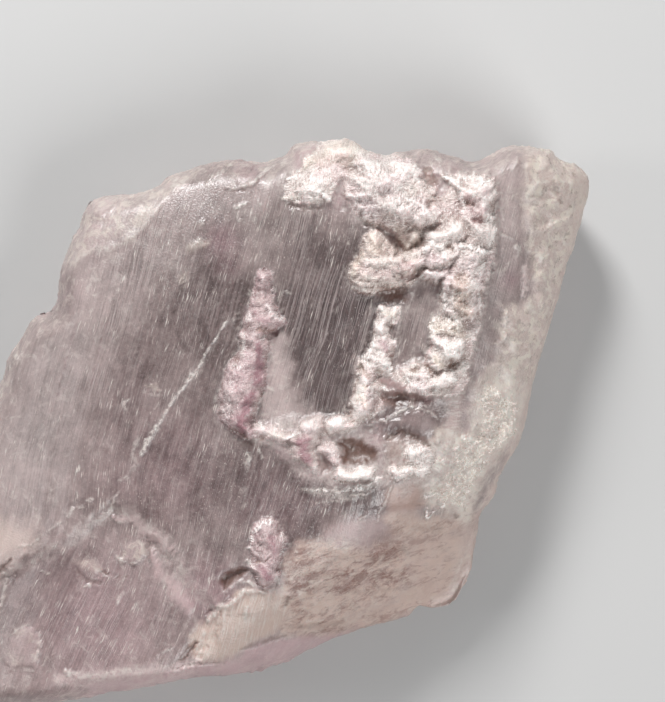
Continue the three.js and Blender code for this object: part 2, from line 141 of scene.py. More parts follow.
# ---- Crust: forms with an outline, a rise, the width of their rounded edge and their paints ----
# A form fades out over the given width on the side that faces its fade's direction.
FADE_UP, FADE_UP_LEFT, FADE_RIGHT, FADE_UP_RIGHT = (0, 1), (-0.7, 0.7), (1, 0), (0.7, 0.7)
HEAPS = {
    "upper_blur": dict(
        rise=0.8, edge=1.2, crust=0.75, fade=FADE_UP_LEFT, width=2,
        outline=[(-4.9, 15.1), (-5, 16.6), (-4.2, 17.6), (-3, 17.9), (-2.6, 18.8), (-1, 19), (0.4, 18.4),
            (0.3, 16.8), (-0.4, 15.2), (-1.2, 14.8), (-3, 14.8)],
    ),
    "crest": dict(
        rise=0.9, edge=1.4, crust=0.8, cream=0.35, tan=0.08, smooth=0.4, fade=FADE_UP, width=1.5,
        outline=[(-2.9, 18.1), (-2.5, 19.3), (-1, 19.8), (-0.6, 20.8), (1.2, 21.2), (3.2, 20.7), (5, 19.9),
            (4.2, 19.3), (2.4, 19.2), (1.6, 18.2), (0.4, 18.9), (-1, 18.6), (-1.9, 18.7)],
    ),
    "main_mass": dict(
        rise=1.9, edge=1.9, crust=1, pink=0.1, white=0.15, fade=FADE_UP_LEFT, width=1.6,
        outline=[(1.9, 18.6), (2.3, 19.7), (4, 20.1), (5.5, 19.5), (6.6, 19.5), (8, 19), (9, 18.1),
            (8.9, 17.2), (9.6, 16.5), (10.4, 16.2), (10.5, 15.2), (10.8, 14.5), (11.5, 13.8), (12.2, 13.2),
            (12, 12.3), (10.6, 12.1), (9.4, 12.1), (8.2, 12), (7, 11.9), (6.2, 12.2), (5.2, 12.6),
            (4.2, 12.8), (3.2, 13.2), (2.5, 14), (2.1, 14.9), (1.4, 15.5), (1.6, 16.8)],
    ),
    "underside": dict(
        rise=1, edge=1, crust=0.65, tan=0.55, smooth=0.7, fade=FADE_UP, width=1.2,
        outline=[(6.3, 12.4), (9.2, 12.4), (9.2, 11.2), (8.9, 10.6), (7.8, 9.9), (6.8, 10), (6.6, 11)],
    ),
    "fist": dict(
        rise=2, edge=1.3, crust=1, pink=0.12, tan=0.35, fade=FADE_UP_RIGHT, width=0.6,
        outline=[(3.3, 11.7), (3.9, 12.3), (4.7, 12.1), (5.4, 11.3), (6.1, 10.5), (6.6, 9.9), (7.6, 9.8),
            (8.6, 10), (9, 10.8), (9.8, 10.8), (9.8, 8.6), (8.6, 8.1), (8.4, 7.3), (7.4, 6.5), (6.2, 6.4),
            (4.6, 5.9), (3, 5.8), (2.1, 6.1), (1.9, 6.7), (1.9, 7.2), (1.5, 7.7), (1.7, 8.4), (2.4, 9),
            (2.9, 10), (3.1, 11)],
    ),
    "bridge": dict(
        rise=1.9, edge=1.1, crust=1, pink=0.05,
        outline=[(9.1, 12.4), (10, 13), (11.6, 13.5), (13.4, 13.2), (14, 12), (13.8, 10.6), (13.2, 9.4),
            (12.2, 8.4), (10.8, 7.9), (9, 8.2), (8.6, 9.8), (8.8, 10.7), (8.8, 11.4)],
    ),
    "white_lumps": dict(
        rise=1.4, edge=0.8, crust=1, white=0.3,
        outline=[(8.5, 8.6), (9.6, 8.8), (10.6, 9), (12, 8.8), (12.2, 7.6), (11.2, 6.9), (10, 7.2),
            (9.3, 7.1), (8.8, 7.6)],
    ),
    "column": dict(
        rise=1.6, edge=1, crust=1, pink=0.08,
        outline=[(11, 17.7), (12.1, 17.6), (13, 17.1), (14, 17.7), (15.2, 17.3), (16.1, 16.8), (16.2, 15),
            (15.9, 13.2), (16.3, 12.2), (15.9, 11.2), (15.4, 10.2), (15.3, 9.2), (15.1, 8.3), (14.9, 7),
            (14.8, 5.6), (14.8, 4), (14, 3.1), (13, 3), (12, 3.3), (11.1, 3.8), (10.9, 5.6), (10.8, 6.9),
            (11.2, 8.2), (11.3, 9), (12.2, 10.8), (12.9, 12.4), (12.3, 13.3), (12.7, 14.4), (12.4, 15.8),
            (11.6, 16.9)],
    ),
    "loops": dict(
        rise=0.6, edge=0.5, crust=0.8, cream=0.3,
        outline=[(10, 3.4), (9.7, 2.4), (9.8, 1.4), (11, 1.4), (12.2, 1.3), (13.2, 1), (13.2, 2.2),
            (13, 3.1), (12.2, 3.7), (11.5, 3.2), (10.8, 3.1), (10.4, 3.5)],
    ),
    "white_knob": dict(
        rise=1.7, edge=1.1, crust=1,
        outline=[(9.9, 1.6), (11.2, 1.7), (12.4, 1.4), (13.2, 1), (13.1, -0.2), (12.8, -0.8), (11.8, -1),
            (11.2, -2), (10.4, -1.9), (9.6, -1.4), (9.3, -0.5), (9.8, 0.3)],
    ),
    "arm": dict(
        rise=1.3, edge=0.9, crust=1, pink=0.05, fade=FADE_RIGHT, width=0.5,
        outline=[(4.6, 4.6), (4.6, 3.4), (4.3, 2.9), (4.1, 1.8), (4, 1.1), (3.9, 0.3), (3.2, -0.4),
            (2.9, -1.1), (3, -1.7), (2.6, -2.4), (2.3, -3.2), (2.1, -4.2), (1.9, -5), (1.9, -6),
            (1.4, -6.4), (0.4, -6.4), (-0.6, -6.8), (-0.8, -7.6), (0, -8.2), (1.6, -8), (2.6, -7.4),
            (3.4, -6.6), (4.2, -5.6), (4.6, -4.9), (4.6, -4), (4.4, -3), (4.6, -2.6), (6, -2.6),
            (6.2, -1.8), (5.9, -1), (6, -0.4), (6.4, 0.4), (6.6, 0.9), (5.8, 1.3), (5.5, 2), (5.5, 2.6),
            (6.4, 3), (6.8, 3.6), (6.8, 4.4), (6, 4.3), (5.2, 4.7)],
    ),
    "lumps": dict(
        rise=0.7, edge=0.5, crust=0.9,
        outline=[(7.2, -2.2), (7.8, -2.9), (8, -3.6), (8.8, -4), (9.4, -3.9), (9.9, -3.6), (10.2, -4),
            (10.9, -3.9), (11.4, -3.5), (12.1, -3.1), (12.4, -2.7), (12.2, -2.3), (11.2, -2), (10.4, -2.2),
            (9.8, -2.6), (9.2, -1.8), (8.8, -1.7), (8.3, -2), (7.7, -2.1)],
    ),
    "foot": dict(
        rise=1, edge=0.8, crust=0.7, pink=0.25, smooth=0.5, fade=FADE_UP_LEFT, width=0.8,
        outline=[(-8, -6.9), (-7, -7.1), (-5.6, -7.4), (-4.6, -7.9), (-3.7, -8.1), (-3.4, -7.5), (-3.3, -7),
            (-2.2, -6.8), (-1.6, -6.3), (-1, -6.4), (-0.7, -7.4), (-1, -8.4), (-1.2, -9.2), (-1.8, -9.6),
            (-1.6, -10.6), (-1.4, -11.4), (-1.5, -12.2), (-2.4, -12), (-3.2, -11.2), (-4, -10.8),
            (-4.2, -9.6), (-4.6, -9), (-5.6, -8.9), (-6.4, -8.7), (-7.4, -8.3), (-8, -7.9)],
    ),
    "frill": dict(
        rise=0.7, edge=1.1, pink=0.35, crust=1,
        outline=[(-1.5, -9.7), (-0.9, -9.1), (-0.1, -9.3), (0.3, -9.9), (0.7, -10.6), (0.8, -11.3),
            (0.4, -11.9), (-0.1, -11.6), (-0.3, -10.9), (-0.8, -10.3)],
    ),
    "shelf": dict(
        rise=1.1, edge=0.5, crust=1, white=0.1,
        outline=[(0.2, -12.3), (0.5, -11.5), (1.4, -11.9), (2.4, -11.8), (3.2, -11.6), (3.9, -11.4),
            (4.2, -12), (4.2, -12.9), (3.4, -12.8), (2.4, -12.9), (1.4, -13.1), (0.4, -12.9)],
    ),
    "pink_ridge": dict(
        rise=1.4, edge=0.9, crust=1, pink=0.6,
        outline=[(-7.4, 8.1), (-7.7, 7.4), (-7.7, 6.4), (-8, 5.6), (-8.3, 4.8), (-8.6, 4), (-8.8, 3.2),
            (-8.6, 2.4), (-9.1, 2.1), (-9.3, 1.5), (-9.1, 0.7), (-9, 0.2), (-9.5, -0.2), (-9.9, -0.8),
            (-10.4, -1.4), (-10.8, -2.2), (-11, -3.2), (-11.3, -4.6), (-11.4, -6), (-11.2, -7),
            (-10.6, -7.6), (-9.9, -7.9), (-9.4, -8.3), (-8.4, -8.6), (-7.9, -8.2), (-8, -7.2), (-7.8, -6.2),
            (-7.6, -5.2), (-7, -4.6), (-6.8, -4), (-6.9, -3), (-6.8, -1.6), (-6.7, -0.4), (-6.3, 0.4),
            (-6.2, 1), (-6.6, 1.6), (-6.2, 2.1), (-5.4, 2.4), (-4.8, 3), (-5.4, 3.7), (-5.9, 4.6),
            (-6.1, 5.6), (-6.2, 6.6), (-6.1, 7.6), (-6.3, 8.2)],
    ),
    "pink_bump": dict(
        rise=1.2, edge=0.9, crust=1, pink=0.6,
        outline=[(-8.3, -19.6), (-8.2, -18.6), (-7.8, -17.6), (-7, -16.7), (-6.4, -16.7), (-5.8, -17),
            (-5.2, -17.9), (-4.8, -18.6), (-4.8, -19.6), (-5.1, -20.6), (-5.4, -21.6), (-5.4, -22.4),
            (-6, -23), (-6.8, -23.6), (-7.5, -23.4), (-7.8, -22.6), (-8.3, -21.6), (-8.1, -20.6)],
    ),
    "cluster": dict(
        rise=0.6, edge=0.6, crust=0.85, white=0.2,
        outline=[(7.2, -10.2), (7.6, -9.4), (8.6, -9.2), (9.2, -9.6), (10, -9.8), (10.2, -10.6),
            (9.8, -11.4), (9.6, -12), (9, -12.7), (8, -12.2), (7.2, -12.8), (6.4, -12.8), (5.8, -12),
            (6.2, -11.4), (7, -11.8), (7.8, -11.2)],
    ),
}

# ---- Frost: thin crust that lies between and round the heaps, laid before them ----
FROST = {
    "top_frost": dict(
        soft=1.3, milk=0.85, crust=0.6, rise=0.4, smooth=0.3,
        outline=[(-3.2, 21), (-4, 18.4), (-4, 16), (-3.4, 15), (-2.4, 14.6), (-1, 14.6), (0.4, 15.6),
            (2.1, 13.8), (5.1, 12.1), (7.8, 11.8), (9.2, 13.5), (8.8, 17.8), (6.4, 20), (1.1, 21.6),
            (-2.2, 21.2)],
    ),
    "corner_frost": dict(
        soft=0.8, milk=0.66, crust=0.2, smooth=0.3, mauve=0.3,
        outline=[(7.5, 19.8), (9, 15.6), (11.4, 14.4), (13, 15.6), (13.4, 18), (12, 19.6)],
    ),
    "bridge_frost": dict(
        soft=0.6, milk=0.85, crust=0.85, rise=0.7,
        outline=[(7.6, 12), (9, 14.5), (11.1, 15.2), (12.4, 17.6), (14, 18.2), (16.3, 17.2), (16.4, 12.4),
            (16.1, 8.8), (15.1, 6.1), (11.1, 6.4), (9.1, 7.4), (7.6, 8.4)],
    ),
    "column_frost": dict(
        soft=0.5, milk=0.8, crust=0.75, rise=0.4,
        outline=[(11, 7.4), (15.2, 7.4), (15, 3.4), (13.8, -1.2), (12.8, -3.6), (10.4, -3.4), (9.6, 1.4),
            (10.6, 3.4)],
    ),
    "lower_frost": dict(
        soft=0.5, milk=0.75, crust=0.62, rise=0.35, tan=0.15,
        outline=[(2.4, -0.6), (5.8, -2.2), (8.4, -0.9), (13, -1.2), (14, -3), (12.4, -4.6), (9.4, -4.7),
            (6.4, -4.2), (4.2, -6.8), (1.8, -7.4), (2, -3.2)],
    ),
    "foot_frost": dict(
        soft=0.7, milk=0.75, crust=0.3, rise=0.3, smooth=0.4,
        outline=[(-8.9, -7.4), (-6.4, -7.2), (-3.9, -6.4), (1.8, -6.4), (4.4, -7.4), (5, -9), (5.6, -11.4),
            (5.6, -13.4), (0.4, -13.6), (-2.9, -12.7), (-4.6, -10.8), (-8, -8.6)],
    ),
    "east_frost": dict(
        soft=0.8, milk=0.72, crust=0.36, rise=0.15, tan=0.15, cream=0.2,
        outline=[(5.4, -8.6), (8, -9), (10.8, -9), (12.4, -8.8), (12, -11), (10.6, -13.4), (8.6, -13.4),
            (5.6, -13)],
    ),
}

# ---- Hollows: an outline, a depth, the width of their slope and how much brown painted shade they hold ----
HOLLOWS = {
    "cave": dict(
        depth=0.7, edge=1.1, brown=1,
        outline=[(0.5, -9), (1.2, -8.7), (2, -8.8), (3, -8.8), (3.6, -9.3), (4.4, -10), (4.5, -10.8),
            (4, -11.3), (3.2, -11.3), (2, -11.6), (1.2, -11.4), (0.8, -10.6), (0.7, -9.8)],
    ),
    "under_fist": dict(
        depth=0.25, edge=0.7, brown=0.85,
        outline=[(4.6, 5.7), (6.2, 6.3), (7.4, 6.3), (7.6, 5.6), (7, 5), (5.8, 4.9)],
    ),
    "under_arm": dict(
        depth=0.25, edge=0.7, brown=0.7,
        outline=[(4.7, -4.2), (6.5, -4.1), (8.2, -4.3), (9.6, -4.9), (8.4, -5.2), (6.6, -5.5), (5, -5.3)],
    ),
    "frill_pocket": dict(
        depth=0.25, edge=0.5, brown=0.5,
        outline=[(-1.4, -10.4), (-0.8, -10.5), (-0.3, -11.1), (-0.2, -11.9), (-1, -12.1), (-1.4, -11.4)],
    ),
    "chip": dict(
        depth=0.7, edge=0.35, brown=1,
        outline=[(-11.3, -22.3), (-10.4, -22), (-9, -21.8), (-8.5, -22), (-9.4, -22.6), (-10.2, -23.2),
            (-10.9, -23.9), (-11.2, -23.2)],
    ),
}

# ---- Zones: regions of one kind of surface, with how soft their border is ----
ZONES = {
    "milky_ramp": dict(
        soft=1.3, milk=0.88, smooth=0.45, slope=(-0.05, 0.03), lined=0.5, sparkle=0.3,
        outline=[(-6.4, 2.2), (-5.2, 2.2), (-4.6, 1), (-4.2, -2), (-3.6, -5), (-1.6, -6.4), (-3.4, -7),
            (-7, -7.2), (-7.6, -5), (-6.8, -3), (-6.6, 0)],
    ),
    "cream_block": dict(
        soft=0.5, cream=0.6, tan=0.5, milk=0.9, brushed=0.65,
        outline=[(-14.3, -28.6), (-13.6, -27.4), (-12.6, -27.3), (-11.9, -26.4), (-11.2, -25.3),
            (-10.2, -25.1), (-9.6, -24.2), (-8.6, -23.8), (-7.2, -24), (-5.6, -24.2), (-4.8, -24.8),
            (-4.4, -26), (-4.8, -27.4), (-6, -28.2), (-8, -29), (-9.6, -30), (-11, -31), (-13, -31.1),
            (-13.9, -30.6), (-14.2, -29.6)],
    ),
    "tan_zone": dict(
        soft=0.9, tan=0.65, bands=1, milk=0.85, smooth=0.4, crust=0.2, lace=0.3,
        outline=[(-5.2, -24.6), (-5, -23), (-4.6, -20.8), (-3.4, -19.4), (-1, -19), (0.8, -19.1),
            (3, -19.6), (5, -18.8), (6.6, -18.6), (7.4, -19.2), (7.8, -21), (8, -23), (6.6, -24.6),
            (4, -25.6), (1.6, -26.4), (1.4, -27.8), (-1, -28.2), (-3.4, -28.3), (-5, -28.2), (-4.6, -26.6)],
    ),
    "pink_bevel": dict(
        soft=1, milk=0.9, smooth=0.6, cream=0.4, tan=0.45, bands=0.55,
        outline=[(7, -18.4), (10.4, -18.6), (14.6, -17.4), (15.4, -18.6), (14.6, -23), (12.6, -25.4),
            (8, -26.4), (3.4, -28), (1.4, -27.8), (1.6, -26.4), (6.6, -24.6), (8, -23), (7.4, -20.6)],
    ),
    "pale_corner": dict(
        soft=0.6, milk=0.9, smooth=0.8, cream=0.35, tan=0.15, bands=0.2,
        outline=[(13, -16.4), (15.6, -16), (15.8, -20), (14.8, -23.4), (12.8, -26.6), (9.4, -26.8),
            (11.2, -24.4), (12.6, -21)],
    ),
    "smooth_pink": dict(
        soft=0.8, milk=0.8, smooth=0.7, mauve=0.35, tan=0.1,
        outline=[(-1, -17.6), (0, -17.2), (3, -16.8), (4.8, -16.8), (5.6, -18.2), (3.4, -19.6),
            (0.6, -19.8), (-1.2, -19)],
    ),
    "brown_seam": dict(
        soft=0.8, tan=0.7, cream=0.3, bands=0.7, milk=0.8, smooth=0.5, crust=0.3,
        outline=[(5.4, -16.6), (7, -16.4), (9, -16.8), (11.2, -16.4), (12.8, -16.6), (12.6, -17.6),
            (10.6, -18.5), (8.4, -18.6), (6, -18.4)],
    ),
    "beige_zone": dict(
        soft=1, tan=0.1, cream=0.8, lace=1, crust=0.5, milk=1, smooth=0.3, white=0.42,
        outline=[(10.4, -8.4), (12, -8), (14, -7.9), (14.4, -3.6), (17, -0.6), (19.6, -3.6), (18.8, -8.6),
            (16.8, -10.4), (14.6, -13.6), (13.6, -16.8), (11.8, -16), (10, -15.6), (9.2, -14), (9.6, -12)],
    ),
    "small_facets": dict(
        soft=0.7, milk=0.75, smooth=0.6, tan=0.6,
        outline=[(5.2, -17), (5.4, -15), (5.9, -13.2), (8, -12.9), (9.4, -13), (9.2, -15), (8.2, -16.2),
            (6, -16.8)],
    ),
    "ribbed_band": dict(
        soft=0.4, milk=0.9, tan=0.15, ribs=1, smooth=0.7,
        outline=[(11.7, -3.4), (13, -3.4), (13, -8), (11.9, -8.4), (11.2, -8.8), (11.5, -6)],
    ),
    "smooth_band": dict(
        soft=0.3, milk=0.62, mauve=0.25, smooth=1,
        outline=[(13, -3.2), (14.2, -3.4), (14, -8.2), (13, -8.2)],
    ),
    "window_dome": dict(
        soft=0.6, milk=0.4, mauve=0.15, smooth=0.8, rise=0.35,
        outline=[(5.2, -7.3), (6.6, -6.6), (8, -5.7), (10.2, -6.6), (10.9, -8), (10.4, -9), (9, -8.5),
            (7.8, -8), (6.6, -7.6)],
    ),
    "lens": dict(
        soft=0.4, milk=0.35, brown=0.35, smooth=1, rise=0.2,
        outline=[(5.6, -9.2), (6.4, -9), (7, -9.6), (7, -10.6), (6, -10.8), (5.4, -10.2)],
    ),
    "right_rim": dict(
        soft=0.9, milk=0.85, lace=1, cream=0.5, crust=0.3, smooth=0.4,
        outline=[(19.2, 20.8), (19.8, 17), (19, 15.6), (19.6, 13), (20, 10), (20, 8), (20.8, 6), (19, 4.6),
            (17.2, 4.2), (16.8, 1), (16.8, -1), (16, -3), (19.6, -5), (21, -1), (22, 3), (23.6, 8),
            (25, 13), (26.4, 18), (23, 21)],
    ),
    "rim_edge": dict(
        soft=0.4, milk=0.95, smooth=0.7, lace=0.35, cream=0.6,
        outline=[(24.4, 18), (26.4, 17.4), (25, 11), (23, 4.4), (21, -2.4), (20, -6), (19.4, -9.6),
            (17, -13), (16, -16), (15, -16.4), (15.6, -14), (17.4, -11), (18.2, -9), (19, -5), (20, -2.4),
            (21.4, 2), (22.6, 6), (23, 8.6), (23.8, 12)],
    ),
    "glassy_foot": dict(
        soft=0.4, milk=0.92, mauve=0.2, pink=0.3, smooth=0.9,
        outline=[(-24, -33), (-18.6, -32.6), (-15, -31.6), (-9.6, -31), (-8.6, -29.9), (-6, -28.9),
            (-1, -28.5), (3, -28), (6, -27.4), (8.6, -26.2), (12, -26.4), (9, -29), (0, -33), (-14, -36),
            (-26, -37)],
    ),
    "pale_block": dict(
        soft=0.3, milk=0.7, smooth=0.4, lace=0.2, rise=0.12,
        outline=[(-32.4, -28.6), (-31.6, -27.9), (-30.4, -27.7), (-29.4, -28.4), (-29.3, -29.6),
            (-29.8, -31.6), (-32.4, -31.9), (-33, -30.2)],
    ),
    "knob": dict(
        soft=0.3, milk=0.62, lace=0.4, smooth=0.3, rise=0.12,
        outline=[(-21.6, -20.4), (-20.8, -19.4), (-19.6, -19), (-18.8, -19.6), (-18.8, -20.6),
            (-19.6, -21.2), (-21.2, -21.2)],
    ),
    "small_knob": dict(
        soft=0.3, milk=0.6, cream=0.2, lace=0.3, smooth=0.3, rise=0.1,
        outline=[(-26, -21.1), (-24.6, -20.9), (-22.9, -21.9), (-23.8, -22.3), (-25.1, -21.8)],
    ),
    "yellow_corner": dict(
        soft=1.6, milk=1, cream=0.5, smooth=0.5,
        outline=[(-42, -17), (-34, -17), (-30, -17.6), (-29.6, -19), (-32, -20.4), (-34, -22.4),
            (-42, -24)],
    ),
    "rim_bank": dict(
        soft=0.8, milk=0.72, smooth=0.2, lace=0.4, white=0.25,
        outline=[(-26.2, 8.4), (-24, 10.2), (-20, 11.4), (-18, 13.4), (-16.8, 15.2), (-14, 18.4), (-18, 18),
            (-25, 16), (-28, 9)],
    ),
}

# ---- Haze in the clear faces: spots of x, y, reach and amount ----
HAZE = [
    (0, 1, 5, 0.0), (0, -3, 4, 0.0), (-14.5, 3, 3, 0.1), (-10.6, 7.6, 1.5, 0), (-17, 4, 3, 0.22),
    (-23, 2, 4, 0.5), (-24, -3, 4, 0.4), (-29, -4, 4, 0.6), (-20, -5, 5, 0.25), (-27, -9, 4, 0.42),
    (-32, -13, 4, 0.6), (-24, -12, 4, 0.35), (-28, -15, 3, 0.5), (-14, -13, 6, 0.3), (-10, -12, 3, 0.12),
    (-3, -15, 5, 0.13), (-22, 7, 4, 0.56), (-26, 6, 2, 0.72), (-16, 13, 3, 0.48), (-10, 15, 4, 0.49),
    (-12, 11, 2, 0.22), (-9, 11, 2.5, 0.4), (-4.5, 11.5, 3, 0.36), (0, 9, 3, 0.12), (1, 14, 2, 0.4),
    (-8, 18, 3, 0.6), (-3.5, 19, 2, 0.5), (9, 4, 2.5, 0.42), (7.4, 0, 1.5, 0.3), (5.8, -3.2, 1.5, 0.4),
    (8, -6, 3, 0.3), (5, -8, 2, 0.22), (10, 18.8, 3, 0.55), (11.6, 15.5, 1.4, 0.3), (17.4, 16, 2.5, 0.7),
    (17, 9, 2, 0.56), (16.5, 4, 2, 0.45), (14.6, 0, 2, 0.55), (-24, -26, 6, 0.57), (-29, -23, 4, 0.2),
    (-17, -29, 4, 0.5), (-17, -20, 4, 0.42), (-13, -25, 3, 0.5), (-5, -26, 4, 0.7), (4, -23, 4, 0.7),
]

# ---- Pink-violet spots in the clear faces: x, y, reach and amount ----
MAUVE = [
    (-11, 11, 1.8, 1), (-10.6, 8.6, 1.2, 0.8), (-24, 12, 3, 0.35), (-27, 6, 2, 0.4), (-16, -12, 6, 0.5),
    (-24, -27, 8, 0.75), (-12.5, -24, 3.5, 0.9), (0.8, 15.5, 1.8, 0.6), (4, 10, 1.2, 0.5),
    (-6, -16, 5, 0.6), (-8.6, 18, 1.2, 0.7), (5.6, -3.2, 1.8, 0.7), (11.6, 15, 1.4, 0.5),
    (17.8, 7.2, 0.9, 0.8), (-28, -22, 4, 0.5), (5, -8.4, 2, 0.5), (-20, -6, 4, 0.25), (9, -4.8, 1, 0.5),
    (-20, -13, 5, 0.4), (4, -18, 3, 0.4),
]
